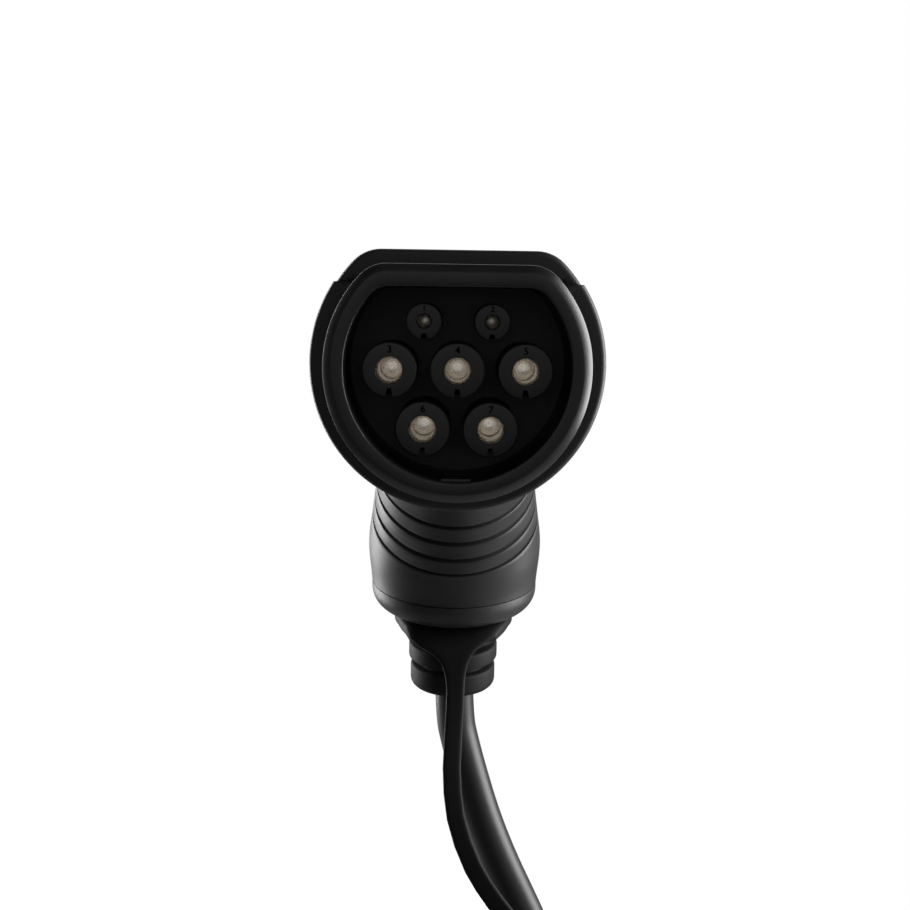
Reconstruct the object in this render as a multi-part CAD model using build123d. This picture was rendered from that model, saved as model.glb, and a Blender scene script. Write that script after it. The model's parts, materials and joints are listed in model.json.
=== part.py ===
from build123d import *
from math import cos, degrees, pi, radians, sin, tan
import os

# Vehicle connector of a portable charger for electric cars, with its cable, dust cap and control box.
# Millimetres. The origin is the middle of the mouth of the earth contact's socket.
# X runs to the right as the car sees the connector, Y into the connector, Z up.

# contact layout: five power sockets and two pilot sockets
POWER_PITCH = 17.0
LOWER_ROW_DROP = 14.7
PILOT_APART = 17.0
PILOT_RISE = 12.2
POWER_BORE = 6.1
POWER_BORE_DEPTH = 20.0
POWER_SLEEVE = 9.0
POWER_BARREL = 6.6
PILOT_BORE = 3.1
PILOT_BORE_DEPTH = 14.0
PILOT_SLEEVE = 5.0
PILOT_BARREL = 4.4
SHOULDER_REACH = 1.2
SHOULDER_THICKNESS = 3.0
BARREL_LENGTH = 14.0
CRIMP_WALL = 1.1
CRIMP_DEPTH = 8.0
DRILL_POINT = 0.58
SLOT_WIDTH = 0.8
SLOT_LENGTH = 13.0
SPRING_WIDTH = 3.0
SPRING_THICKNESS = 0.5
SPRING_PLACE = 5.0

# contact carrier and its towers
POWER_TOWER = 13.8
POWER_MOUTH = 6.9
PILOT_TOWER = 9.0
PILOT_MOUTH = 3.8
TOWER_LIP = 1.5
NOTCH_WIDTH = 1.9
NOTCH_WALL = 1.1
NOTCH_LENGTH = 18.0
CARRIER_BASE = 6.0
BASE_FRONT = 23.0
SLIDE_GAP = 0.1

# nozzle collar, a round tube with a flat top
NOZZLE_RISE = 0.7
COLLAR_RADIUS = 33.3
COLLAR_FLAT = 25.6
COLLAR_CORNER = 9.0
COLLAR_CHAMFER = 2.0
CAVITY_RADIUS = 28.1
CAVITY_FLAT = 20.0
CAVITY_CORNER = 6.0
RIM_RECESS = 6.0
RIM_ROUND = 0.6
BASE_SEAT = 1.2
KEY_WIDTH = 7.4
KEY_HEIGHT = 0.5
KEY_LENGTH = 14.0
KEY_SET_BACK = 2.0
KEY_RECESS = 0.9
FOOT_REACH = 2.2
FOOT_THICKNESS = 3.0

# retainer plate, its screws and the seal round the carrier
RETAINER_THICKNESS = 3.0
SEAL_WIDTH = 2.0
SEAL_DEPTH = 1.6
FIXING_SCREW = 2.5
FIXING_HEAD = 4.6
FIXING_HEAD_HEIGHT = 1.8
FIXING_LENGTH = 7.0
FIXING_PLACES = ((0, 15.9), (-19.5, -13.0), (19.5, -13.0))

# front flange of the housing
FLANGE_FRONT = 22.5
FLANGE_THICKNESS = 12.0
FLANGE_RADIUS = 38.2
FLANGE_FLAT = 30.2
FLANGE_CORNER = 11.0
FLANGE_ROUND = 1.5
UPPER_STEP = 0.7

# housing: a curved centre line, with an oval section at each station along it
HEAD_START = 15.9
HEAD_HEIGHT = -0.6
HEAD_BEND = 91.5
GRIP_LEAN = 48.5
GRIP_RUN = 22.0
TAIL_BEND = 50.0
TAIL_LEAN = 79.0
HOUSING_WALL = 3.0
END_WALL = 3.0
# distance along the centre line, half width, half depth
STATIONS = (
    (12.8, 35.0, 32.5),
    (31.9, 30.5, 30.0),
    (54.3, 25.8, 27.8),
    (77.5, 24.0, 26.5),
    (89.0, 24.6, 26.0),
    (100.5, 25.9, 26.0),
    (112.0, 27.2, 26.6),
)
TAIL_RADIUS = 26.3

# parting between the lower and the upper shell: distance along the centre line, height above it
PARTING_AT_FLANGE = 22.0
PARTING = ((33.0, 16.5), (55.0, 10.0), (77.5, 7.0), (99.5, 7.0), (112.0, 7.0))
PARTING_AT_TAIL = 7.0

# grooves round the front of the grip
GROOVE_PLACES = (77.5, 85.5, 93.5, 101.0)
GROOVE_WIDTH = 1.1
GROOVE_DEPTH = 1.2
GROOVE_END = 0.0

# screw posts: distance along the centre line, distance from the middle
POST_PLACES = ((33.0, 19.0), (90.0, 17.4))
POST_DIAMETER = 6.5
POST_LENGTH = 10.0
SCREW_DIAMETER = 2.9
SCREW_HEAD = 5.4
SCREW_HEAD_HEIGHT = 2.2
SCREW_LENGTH = 13.0
SCREW_SEAT = 1.6
SCREW_GAP = 0.1

# tail cap, strain relief and cable clamp, measured down the tail axis from the seam
SPIGOT_LENGTH = 7.0
SPIGOT_RADIUS = 22.3
SPIGOT_WALL = 2.8
CAP_LENGTH = 11.5
CAP_STRAIGHT = 2.0
CAP_MOUTH = 18.9
CAP_END_WALL = 2.3
RELIEF_NECK = 12.0
RELIEF_FLANGE = 19.5
RELIEF_RIBS = 3
RELIEF_PITCH = 7.4
RELIEF_RADIUS = 13.6
RELIEF_TAPER = 0.35
RELIEF_GROOVE = 2.0
RELIEF_GROOVE_RADIUS = 10.8
RELIEF_END_ROUND = 2.0
CLAMP_LENGTH = 9.0
CLAMP_MIDDLE = -1.0
CLAMP_WALL = 2.8
CLAMP_EARS = 15.0
CLAMP_SCREW = 2.9

# rubber tether and dust cap
TETHER_THICKNESS = 2.5
TETHER_RING = 19.0
STRAP_WIDTH = 5.6
DUST_CAP_WALL = 2.2
DUST_CAP_DEPTH = 26.0
DUST_CAP_GAP = 0.4
DUST_CAP_PLACE = (27.0, 46.0, -214.0)
LUG_WIDTH = 14.0
LUG_HEIGHT = 12.0
LUG_THICKNESS = 4.0
LUG_RISE = 3.0
STRAP_END_PLACE = 66.75
EYE_DIAMETER = 11.0
STUD_DIAMETER = 4.0
STUD_HEAD = 7.0
STUD_HEAD_THICKNESS = 1.8
# middle of the stud's front face
STUD_PLACE = (27.0, 63.6, -179.2)

# cable
CABLE_DIAMETER = 12.5
CABLE_START = -9.0
CORE_DIAMETER = 3.4
PILOT_CORE_DIAMETER = 2.0
COIL_PLACE = (-54.0, 234.0)
FLOOR = -345.0
COIL_OUTER_TURN = 100.0
COIL_COLUMNS = 4
COIL_LAYERS = 2
COIL_LEAD = 52.0
COIL_SLACK = 0.4
COIL_EDGE = 3.0

# control box, lying on the coil
BOX_SHIFT = 30.0
BOX_LENGTH = 170.0
BOX_WIDTH = 84.0
BOX_HEIGHT = 46.0
BOX_CORNER = 14.0
BOX_WALL = 3.0
BOX_LID = 15.0
BOX_SEAL = 1.6
GLAND_DROP = 31.3
GLAND_HEX = 22.0
GLAND_HEX_LENGTH = 7.0
GLAND_NECK = 20.0
GLAND_LENGTH = 24.0
BOARD_THICKNESS = 1.6
BOARD_GAP = 4.0
WINDOW_SIZE = (60.0, 26.0)
WINDOW_THICKNESS = 2.0
RELAY_SIZE = (16.0, 30.0, 16.0)
RELAY_PITCH = 20.0
RELAYS = 3
BOX_SCREW_HEAD = 6.0

# places worked out from the sizes above
TOWER_FACE = -TOWER_LIP
RIM = TOWER_FACE - RIM_RECESS
BASE_BACK = BASE_FRONT + CARRIER_BASE
RETAINER_BACK = BASE_BACK + RETAINER_THICKNESS
COLLAR_BACK = RETAINER_BACK + 0.5
FLANGE_BACK = FLANGE_FRONT + FLANGE_THICKNESS
SEAT_RADIUS = CAVITY_RADIUS + BASE_SEAT
SEAT_FLAT = CAVITY_FLAT + BASE_SEAT
CABLE_RADIUS = CABLE_DIAMETER / 2
BARREL_BACK = BASE_BACK + BARREL_LENGTH
RELIEF_START = CAP_LENGTH + TETHER_THICKNESS + SLIDE_GAP
RELIEF_END = RELIEF_START + RELIEF_RIBS * RELIEF_PITCH

POWER_CONTACTS = {
    "neutral": (-POWER_PITCH, 0.0),
    "earth": (0.0, 0.0),
    "line_1": (POWER_PITCH, 0.0),
    "line_2": (POWER_PITCH / 2, -LOWER_ROW_DROP),
    "line_3": (-POWER_PITCH / 2, -LOWER_ROW_DROP),
}
PILOT_CONTACTS = {
    "control_pilot": (-PILOT_APART / 2, PILOT_RISE),
    "proximity": (PILOT_APART / 2, PILOT_RISE),
}

os.makedirs("parts", exist_ok=True)


def save(name, *solids):
    """Write one sub-part: one solid, or a group of separate like solids."""
    shape = solids[0] if len(solids) == 1 else Compound(children=list(solids))
    export_step(shape, f"parts/{name}.step")


def facing_front(y, x=0.0, z=0.0):
    """A plane across the nozzle, seen from the car: sketch x to the right, sketch y up."""
    return Plane(origin=(x, y, z), x_dir=(1, 0, 0), z_dir=(0, -1, 0))


def along_nozzle(face, front, back, x=0.0, z=0.0):
    """A face drawn across the nozzle, extruded from its back to its front place."""
    return extrude(facing_front(back, x, z) * face, back - front)


def pin(diameter, front, back, x=0.0, z=0.0):
    return along_nozzle(Circle(diameter / 2), front, back, x, z)


def flat_topped(radius, flat, corner):
    """A disc with a flat top, its two corners rounded."""
    below_flat = Pos(0, flat - 1.5 * radius) * Rectangle(4 * radius, 3 * radius)
    disc = Circle(radius) & below_flat
    corners = [v for v in disc.vertices() if abs(v.Y - flat) < 1e-6]
    return fillet(corners, corner)


def nozzle_form(radius, flat, corner, front, back):
    return along_nozzle(flat_topped(radius, flat, corner), front, back, 0, NOZZLE_RISE)


def centre(s):
    """Centre line of the housing at a distance s along it: y, z and the lean in degrees."""
    grip_lean, tail_lean = radians(GRIP_LEAN), radians(TAIL_LEAN)
    head_length = HEAD_BEND * grip_lean
    if s <= head_length:
        lean = s / HEAD_BEND
        y = HEAD_START + HEAD_BEND * sin(lean)
        return y, HEAD_HEIGHT - HEAD_BEND * (1 - cos(lean)), degrees(lean)
    run = min(s - head_length, GRIP_RUN)
    y = HEAD_START + HEAD_BEND * sin(grip_lean) + run * cos(grip_lean)
    z = HEAD_HEIGHT - HEAD_BEND * (1 - cos(grip_lean)) - run * sin(grip_lean)
    rest = s - head_length - run
    lean = min(grip_lean + rest / TAIL_BEND, tail_lean)
    y += TAIL_BEND * (sin(lean) - sin(grip_lean))
    z -= TAIL_BEND * (cos(grip_lean) - cos(lean))
    past = rest - TAIL_BEND * (lean - grip_lean)
    return y + past * cos(lean), z - past * sin(lean), degrees(lean)


SEAM = (HEAD_BEND * radians(GRIP_LEAN) + GRIP_RUN
        + TAIL_BEND * radians(TAIL_LEAN - GRIP_LEAN))


def beside(s, x=0.0, height=0.0):
    """A point beside the centre line: x across, height towards the back of the grip."""
    y, z, lean = centre(s)
    return Vector(x, y + height * sin(radians(lean)), z + height * cos(radians(lean)))


def across(s, x=0.0, height=0.0):
    """A plane across the centre line: sketch x across, sketch y towards the back of the grip."""
    lean = radians(centre(s)[2])
    return Plane(origin=beside(s, x, height), x_dir=(1, 0, 0), z_dir=(0, -cos(lean), sin(lean)))


def standing(s, x=0.0, height=0.0):
    """A plane in which a post stands on the centre line, rising towards the back of the grip."""
    lean = radians(centre(s)[2])
    return Plane(origin=beside(s, x, height), x_dir=(1, 0, 0), z_dir=(0, sin(lean), cos(lean)))


def on_tail(u, x=0.0, height=0.0):
    """A point by the straight tail axis, at a distance u past the seam."""
    lean = radians(TAIL_LEAN)
    return beside(SEAM, x, height) + Vector(0, u * cos(lean), -u * sin(lean))


def across_tail(u, x=0.0, height=0.0):
    """A plane across the tail axis: sketch x across, sketch y towards the back of the grip."""
    lean = radians(TAIL_LEAN)
    return Plane(origin=on_tail(u, x, height), x_dir=(1, 0, 0), z_dir=(0, -cos(lean), sin(lean)))


def tail_slice(face, start, end):
    """A face drawn across the tail axis, extruded between two distances from the seam."""
    return extrude(across_tail(end) * face, end - start)


def tail_ring(outer, inner, start, end):
    return tail_slice(Circle(outer) - Circle(inner) if inner else Circle(outer), start, end)


def half_sizes(s):
    """Half width and half depth of the housing at a distance along it."""
    table = STATIONS + ((SEAM, TAIL_RADIUS, TAIL_RADIUS),)
    for (s0, a0, b0), (s1, a1, b1) in zip(table, table[1:]):
        if s <= s1:
            share = (s - s0) / (s1 - s0)
            return a0 + share * (a1 - a0), b0 + share * (b1 - b0)
    return TAIL_RADIUS, TAIL_RADIUS


def housing_form(inset):
    """The housing's oval body, drawn in by a wall."""
    table = STATIONS + ((SEAM, TAIL_RADIUS, TAIL_RADIUS),)
    return loft([across(s) * Ellipse(a - inset, b - inset) for s, a, b in table])


# shells

def below_parting():
    """The space below and in front of the parting between the two shells."""
    points = [(FLANGE_FRONT - 5, PARTING_AT_FLANGE), (FLANGE_BACK, PARTING_AT_FLANGE)]
    points += [(beside(s, 0, h).Y, beside(s, 0, h).Z) for s, h in PARTING]
    end = beside(SEAM + 2 * SPIGOT_LENGTH, 0, PARTING_AT_TAIL)
    last = beside(SEAM, 0, PARTING_AT_TAIL)
    lean = radians(TAIL_LEAN)
    side = Plane(origin=(-60, 0, 0), x_dir=(0, 1, 0), z_dir=(1, 0, 0))
    upper = Line(points[0], points[1])
    curve = Spline(*points[1:], (last.Y, last.Z), tangents=[(1, -0.35), (cos(lean), -sin(lean))])
    tail = Line((last.Y, last.Z), (end.Y, end.Z))
    around = Polyline((end.Y, end.Z), (end.Y, -150), (-20, -150), (-20, PARTING_AT_FLANGE), points[0])
    return extrude(side * make_face([upper, curve, tail, around.edges()]), 120)


def grip_grooves():
    cuts = []
    for s in GROOVE_PLACES:
        a, b = half_sizes(s)
        ring = Ellipse(a + 3, b + 3) - Ellipse(a - GROOVE_DEPTH, b - GROOVE_DEPTH)
        front = Pos(0, GROOVE_END - 50) * Rectangle(100, 100)
        cuts.append(extrude(across(s) * (ring & front), GROOVE_WIDTH / 2, both=True))
    return cuts


def make_shells():
    flange = nozzle_form(FLANGE_RADIUS, FLANGE_FLAT, FLANGE_CORNER, FLANGE_FRONT, FLANGE_BACK)
    flange = fillet(flange.faces().sort_by(Axis.Y)[0].edges(), FLANGE_ROUND)
    flange = fillet(flange.faces().sort_by(Axis.Y)[-1].edges(), FLANGE_ROUND)
    outside = flange + housing_form(0) + tail_ring(SPIGOT_RADIUS, 0, 0, SPIGOT_LENGTH)
    foot_radius, foot_flat = COLLAR_RADIUS + FOOT_REACH, COLLAR_FLAT + FOOT_REACH
    passage = nozzle_form(COLLAR_RADIUS + 2 * SLIDE_GAP, COLLAR_FLAT + 2 * SLIDE_GAP,
                          COLLAR_CORNER, FLANGE_FRONT - 5, FLANGE_BACK - 3)
    foot_groove = nozzle_form(foot_radius + SLIDE_GAP, foot_flat + SLIDE_GAP, COLLAR_CORNER,
                              COLLAR_BACK - FOOT_THICKNESS - SLIDE_GAP, COLLAR_BACK + SLIDE_GAP)
    room = housing_form(HOUSING_WALL)
    front_stop = along_nozzle(Rectangle(200, 200), -50, COLLAR_BACK + SLIDE_GAP)
    room = room - front_stop - tail_ring(2 * TAIL_RADIUS, 0, -END_WALL, SPIGOT_LENGTH)
    mouth = tail_ring(SPIGOT_RADIUS - SPIGOT_WALL, 0, -END_WALL - 2, SPIGOT_LENGTH + 1)
    hollow = outside - passage - foot_groove - room - mouth
    lower_space = below_parting()
    lower = hollow & lower_space
    upper = hollow - lower_space
    step_form = nozzle_form(FLANGE_RADIUS + 5, FLANGE_FLAT + 5, FLANGE_CORNER, FLANGE_FRONT - 1,
                            FLANGE_BACK + 1)
    step_form -= nozzle_form(FLANGE_RADIUS - UPPER_STEP, FLANGE_FLAT - UPPER_STEP / 3,
                             FLANGE_CORNER, FLANGE_FRONT - 2, FLANGE_BACK + 2)
    upper -= step_form
    for cut in grip_grooves():
        lower -= cut
    screws = []
    skin = housing_form(0.4)
    for s, x in POST_PLACES:
        parting = {p[0]: p[1] for p in PARTING}.get(s, PARTING_AT_TAIL)
        for side in (-1, 1):
            post = extrude(standing(s, side * x, parting - POST_LENGTH) * Circle(POST_DIAMETER / 2),
                           POST_LENGTH + 30)
            post = post & skin
            lower += post & lower_space
            upper += post - lower_space
            seat = parting + SCREW_SEAT
            hole = extrude(standing(s, side * x, seat + SCREW_GAP - SCREW_LENGTH)
                           * Circle(SCREW_DIAMETER / 2 + SCREW_GAP / 2), SCREW_LENGTH + 30)
            pocket = extrude(standing(s, side * x, seat) * Circle(SCREW_HEAD / 2 + SCREW_GAP), 30)
            lower -= hole + pocket
            upper -= hole + pocket
            head = extrude(standing(s, side * x, seat) * Circle(SCREW_HEAD / 2), SCREW_HEAD_HEIGHT)
            cross = Rectangle(3, 0.7) + Rectangle(0.7, 3)
            head -= extrude(standing(s, side * x, seat + SCREW_HEAD_HEIGHT) * cross, -1.2)
            shank = extrude(standing(s, side * x, seat + 2 * SCREW_GAP - SCREW_LENGTH)
                            * Circle(SCREW_DIAMETER / 2), SCREW_LENGTH - SCREW_GAP)
            screws.append(head + shank)
    return lower, upper, screws


# nozzle

def make_collar():
    tube = nozzle_form(COLLAR_RADIUS, COLLAR_FLAT, COLLAR_CORNER, RIM, COLLAR_BACK)
    tube = chamfer(tube.faces().sort_by(Axis.Y)[0].edges(), COLLAR_CHAMFER)
    tube += nozzle_form(COLLAR_RADIUS + FOOT_REACH, COLLAR_FLAT + FOOT_REACH, COLLAR_CORNER,
                        COLLAR_BACK - FOOT_THICKNESS, COLLAR_BACK)
    tube -= nozzle_form(CAVITY_RADIUS, CAVITY_FLAT, CAVITY_CORNER, RIM - 1, BASE_FRONT + 1)
    tube -= nozzle_form(SEAT_RADIUS, SEAT_FLAT, CAVITY_CORNER, BASE_FRONT, COLLAR_BACK + 1)
    rim = tube.faces().sort_by(Axis.Y)[0]
    tube = fillet(rim.inner_wires()[0].edges(), RIM_ROUND)
    key_bottom = NOZZLE_RISE - CAVITY_RADIUS
    key = along_nozzle(Rectangle(KEY_WIDTH, 2 * KEY_HEIGHT), RIM + KEY_SET_BACK,
                       RIM + KEY_SET_BACK + KEY_LENGTH, 0, key_bottom)
    for side in (-1, 1):
        recess = Rectangle(KEY_RECESS, 2 * KEY_HEIGHT)
        tube -= along_nozzle(recess, RIM - 1, RIM + KEY_SET_BACK + KEY_LENGTH,
                             side * (KEY_WIDTH + KEY_RECESS) / 2, key_bottom)
    return tube + key


def base_outline():
    return flat_topped(SEAT_RADIUS - SLIDE_GAP, SEAT_FLAT - SLIDE_GAP, CAVITY_CORNER)


def contact_hole(x, z, sleeve, mouth, bore_side):
    """The stepped hole of one tower: mouth, sleeve room and shoulder room."""
    hole = pin(mouth, TOWER_FACE - 1, 1, x, z)
    hole += pin(sleeve + 2 * SLIDE_GAP, 0, BASE_BACK, x, z)
    return hole + pin(sleeve + 2 * SHOULDER_REACH + 2 * SLIDE_GAP, BASE_BACK - bore_side, BASE_BACK + 1, x, z)


def tower_notch(x, z, tower, sleeve):
    """Open groove down the underside of a tower."""
    top, bottom = sleeve / 2 + SLIDE_GAP + NOTCH_WALL, tower / 2 + 1
    face = Pos(0, -(top + bottom) / 2) * Rectangle(NOTCH_WIDTH, bottom - top)
    return along_nozzle(face, TOWER_FACE - 1, TOWER_FACE + NOTCH_LENGTH, x, z)


def make_carrier():
    carrier = along_nozzle(base_outline(), BASE_FRONT, BASE_BACK, 0, NOZZLE_RISE)
    for x, z in POWER_CONTACTS.values():
        carrier += pin(POWER_TOWER, TOWER_FACE, BASE_FRONT + 1, x, z)
    for x, z in PILOT_CONTACTS.values():
        carrier += pin(PILOT_TOWER, TOWER_FACE, BASE_FRONT + 1, x, z)
    for x, z in POWER_CONTACTS.values():
        carrier -= contact_hole(x, z, POWER_SLEEVE, POWER_MOUTH, SHOULDER_THICKNESS)
        carrier -= tower_notch(x, z, POWER_TOWER, POWER_SLEEVE)
    for x, z in PILOT_CONTACTS.values():
        carrier -= contact_hole(x, z, PILOT_SLEEVE, PILOT_MOUTH, SHOULDER_THICKNESS)
        carrier -= tower_notch(x, z, PILOT_TOWER, PILOT_SLEEVE)
    for x, z in FIXING_PLACES:
        carrier -= pin(FIXING_SCREW + SLIDE_GAP, BASE_BACK + RETAINER_THICKNESS - FIXING_LENGTH - SLIDE_GAP,
                       BASE_BACK + 1, x, z)
    return carrier - seal_ring(SLIDE_GAP)


def seal_ring(room=0.0):
    """Flat seal in a groove round the carrier's base. With room it is the groove itself."""
    middle = BASE_FRONT + CARRIER_BASE / 3
    outer = SEAT_RADIUS - SLIDE_GAP / 2 + 5 * room
    outer_flat = SEAT_FLAT - SLIDE_GAP / 2 + 5 * room
    inner = SEAT_RADIUS - SEAL_DEPTH
    ring = nozzle_form(outer, outer_flat, CAVITY_CORNER, middle - SEAL_WIDTH / 2, middle + SEAL_WIDTH / 2)
    return ring - nozzle_form(inner, SEAT_FLAT - SEAL_DEPTH, CAVITY_CORNER - SEAL_DEPTH,
                              middle - SEAL_WIDTH, middle + SEAL_WIDTH)


def make_contact(x, z, bore, depth, sleeve, barrel, slot_length):
    """A turned socket: slotted sleeve, shoulder and crimp barrel."""
    contact = pin(sleeve, 0, BASE_BACK - SHOULDER_THICKNESS, x, z)
    contact += pin(sleeve + 2 * SHOULDER_REACH, BASE_BACK - SHOULDER_THICKNESS, BASE_BACK, x, z)
    contact += pin(barrel, BASE_BACK, BARREL_BACK, x, z)
    contact -= pin(bore, -1, depth, x, z)
    point = Cone(bore / 2, 0, DRILL_POINT * bore / 2, align=(Align.CENTER, Align.CENTER, Align.MIN))
    contact -= Plane(origin=(x, depth, z), x_dir=(1, 0, 0), z_dir=(0, 1, 0)) * point
    contact -= pin(barrel - 2 * CRIMP_WALL, BARREL_BACK - CRIMP_DEPTH, BARREL_BACK + 1, x, z)
    if slot_length:
        slots = Rectangle(2 * sleeve, SLOT_WIDTH) + Rectangle(SLOT_WIDTH, 2 * sleeve)
        contact -= along_nozzle(Rot(0, 0, 45) * slots, SPRING_PLACE + SPRING_WIDTH + 1,
                                SPRING_PLACE + SPRING_WIDTH + 1 + slot_length, x, z)
        contact -= spring_band(x, z, sleeve, 0.03)
    return contact


def spring_band(x, z, sleeve, room=0.0):
    """A C-shaped spring band in a groove round a sleeve. With room it is the groove itself."""
    band = Circle(sleeve / 2 + room) - Circle(sleeve / 2 - SPRING_THICKNESS - room)
    if not room:
        band -= Pos(0, -sleeve / 2) * Rectangle(1.0, sleeve)
    return along_nozzle(band, SPRING_PLACE - room, SPRING_PLACE + SPRING_WIDTH + room, x, z)


def make_retainer():
    plate = along_nozzle(base_outline(), BASE_BACK, RETAINER_BACK, 0, NOZZLE_RISE)
    for x, z in POWER_CONTACTS.values():
        plate -= pin(POWER_BARREL + 4 * SLIDE_GAP, BASE_BACK - 1, RETAINER_BACK + 1, x, z)
    for x, z in PILOT_CONTACTS.values():
        plate -= pin(PILOT_BARREL + 4 * SLIDE_GAP, BASE_BACK - 1, RETAINER_BACK + 1, x, z)
    for x, z in FIXING_PLACES:
        plate -= pin(FIXING_SCREW + 2 * SLIDE_GAP, BASE_BACK - 1, RETAINER_BACK + 1, x, z)
    return plate


def fixing_screw(x, z):
    screw = pin(FIXING_HEAD, RETAINER_BACK, RETAINER_BACK + FIXING_HEAD_HEIGHT, x, z)
    screw += pin(FIXING_SCREW, RETAINER_BACK - FIXING_LENGTH, RETAINER_BACK, x, z)
    return screw


# inner wires

def bend_radii(points, gentle=0.45):
    """A radius for each corner of a route, as large as its two runs allow."""
    vectors = [Vector(*p) for p in points]
    radii = []
    for before, corner, after in zip(vectors, vectors[1:], vectors[2:]):
        turn = (corner - before).get_angle(after - corner)
        shorter = min((corner - before).length, (after - corner).length)
        radii.append(gentle * shorter / tan(radians(turn) / 2))
    return radii


def tube(points, diameter):
    """A round cord of straight runs joined by tangent arcs."""
    path = FilletPolyline(*points, radius=bend_radii(points))
    first = Vector(*points[1]) - Vector(*points[0])
    start = Plane(origin=points[0], z_dir=first)
    return sweep(start * Circle(diameter / 2), path=path)


BUNDLE_RUN = 4.0
# share of the contact's offset that is left at each distance along the centre line
GATHERING = ((38.0, 0.92), (60.0, 0.6), (80.0, 0.38), (97.0, 0.26))
# where each core leaves the cable's jacket: distance from the middle, and angle
BUNDLE_PLACES = {
    "earth": (0.0, 0.0),
    "neutral": (3.6, 180.0),
    "line_3": (3.6, 240.0),
    "line_2": (3.6, 300.0),
    "line_1": (3.6, 0.0),
    "control_pilot": (3.3, 120.0),
}


def core_route(name, x, z):
    points = [(x, BARREL_BACK - CRIMP_DEPTH + 1, z), (x, BARREL_BACK + 2.5, z)]
    for s, share in GATHERING:
        points.append(tuple(beside(s, x * share, z * share)))
    ring, angle = BUNDLE_PLACES[name]
    across_x, height = ring * cos(radians(angle)), ring * sin(radians(angle))
    for u in (CABLE_START - BUNDLE_RUN, CABLE_START):
        points.append(tuple(on_tail(u, across_x, height)))
    return points


def make_core(name, x, z, diameter):
    return tube(core_route(name, x, z), diameter)


def make_resistor():
    """Coding resistor between the proximity and the earth barrels."""
    low, high = Vector(0, BARREL_BACK - 3, 0), Vector(PILOT_APART / 2, BARREL_BACK - 3, PILOT_RISE)
    span = high - low
    way = span.normalized()
    low, high = low + way * (POWER_BARREL / 2 + SLIDE_GAP), high - way * (PILOT_BARREL / 2 + SLIDE_GAP)
    middle = (low + high) * 0.5
    lead = extrude(Plane(origin=low, z_dir=way) * Circle(0.35), (high - low).length)
    body = extrude(Plane(origin=middle - way * 2.6, z_dir=way) * Circle(1.2), 5.2)
    return lead + body


# tail

def make_tail_cap():
    straight, mouth = CAP_STRAIGHT, CAP_MOUTH
    side = [(TAIL_RADIUS, 0), (TAIL_RADIUS, -straight)]
    shoulder = (TAIL_RADIUS - 0.3 * (TAIL_RADIUS - mouth), -0.72 * CAP_LENGTH)
    curve = ThreePointArc(side[1], shoulder, (mouth, -CAP_LENGTH))
    inner = Polyline((mouth, -CAP_LENGTH), (RELIEF_NECK + 3 * SLIDE_GAP, -CAP_LENGTH),
                     (RELIEF_NECK + 3 * SLIDE_GAP, CAP_END_WALL - CAP_LENGTH),
                     (SPIGOT_RADIUS + SLIDE_GAP, CAP_END_WALL - CAP_LENGTH),
                     (SPIGOT_RADIUS + SLIDE_GAP, 0), (TAIL_RADIUS, 0))
    profile = make_face([Line(*side), curve, inner.edges()])
    return turn_on_tail(profile)


def turn_on_tail(profile):
    """Turn a profile round the tail axis: profile x is the radius, y points back up the tail."""
    seam = across_tail(0)
    frame = Plane(origin=seam.origin, x_dir=(1, 0, 0), z_dir=seam.y_dir * -1)
    axis = Axis(seam.origin, seam.z_dir)
    return revolve(frame * profile, axis)


def make_relief():
    """Ribbed boot: an inner flange, a neck and ribs that narrow towards the cable."""
    flange_end = CAP_LENGTH - CAP_END_WALL
    bore = CABLE_RADIUS + SLIDE_GAP / 2
    points = [(bore, -SPIGOT_LENGTH - SLIDE_GAP), (RELIEF_FLANGE, -SPIGOT_LENGTH - SLIDE_GAP),
              (RELIEF_FLANGE, SLIDE_GAP - flange_end), (RELIEF_NECK, SLIDE_GAP - flange_end),
              (RELIEF_NECK, -RELIEF_START)]
    for rib in range(RELIEF_RIBS):
        start = RELIEF_START + rib * RELIEF_PITCH
        radius = RELIEF_RADIUS - rib * RELIEF_TAPER
        last = rib == RELIEF_RIBS - 1
        length = RELIEF_PITCH if last else RELIEF_PITCH - RELIEF_GROOVE
        round_off = RELIEF_END_ROUND if last else 0.8
        points += [(radius - 0.8, -start), (radius, -start - 0.8), (radius, round_off - start - length),
                   (radius - round_off, -start - length)]
        if not last:
            points += [(RELIEF_GROOVE_RADIUS, -start - length),
                       (RELIEF_GROOVE_RADIUS, -start - RELIEF_PITCH)]
    points.append((bore, -RELIEF_END))
    return turn_on_tail(make_face(Polyline(*points, close=True)))


def make_clamp():
    """Half saddle that presses the cable's jacket into the lower shell's cradle."""
    start, end = CLAMP_MIDDLE - CLAMP_LENGTH / 2, CLAMP_MIDDLE + CLAMP_LENGTH / 2
    arch = Circle(CABLE_RADIUS + CLAMP_WALL) + Pos(0, 1.3) * Rectangle(2 * CLAMP_EARS, 2.6)
    arch -= Circle(CABLE_RADIUS + SLIDE_GAP / 2)
    arch &= Pos(0, 25.3) * Rectangle(100, 50)
    saddle = tail_slice(arch, start, end)
    for side in (-1, 1):
        saddle -= clamp_pin(side, CLAMP_SCREW + 2 * SLIDE_GAP, -5, 10)
    return saddle


def clamp_pin(side, diameter, low, high):
    x = side * (CLAMP_EARS + CABLE_RADIUS + CLAMP_WALL) / 2
    frame = across_tail(CLAMP_MIDDLE, x, low)
    upright = Plane(origin=frame.origin, x_dir=(1, 0, 0), z_dir=frame.y_dir)
    return extrude(upright * Circle(diameter / 2), high - low)


def clamp_screw(side):
    return clamp_pin(side, CLAMP_SCREW, -6.0, 2.6) + clamp_pin(side, 5.2, 2.6, 4.6)


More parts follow.
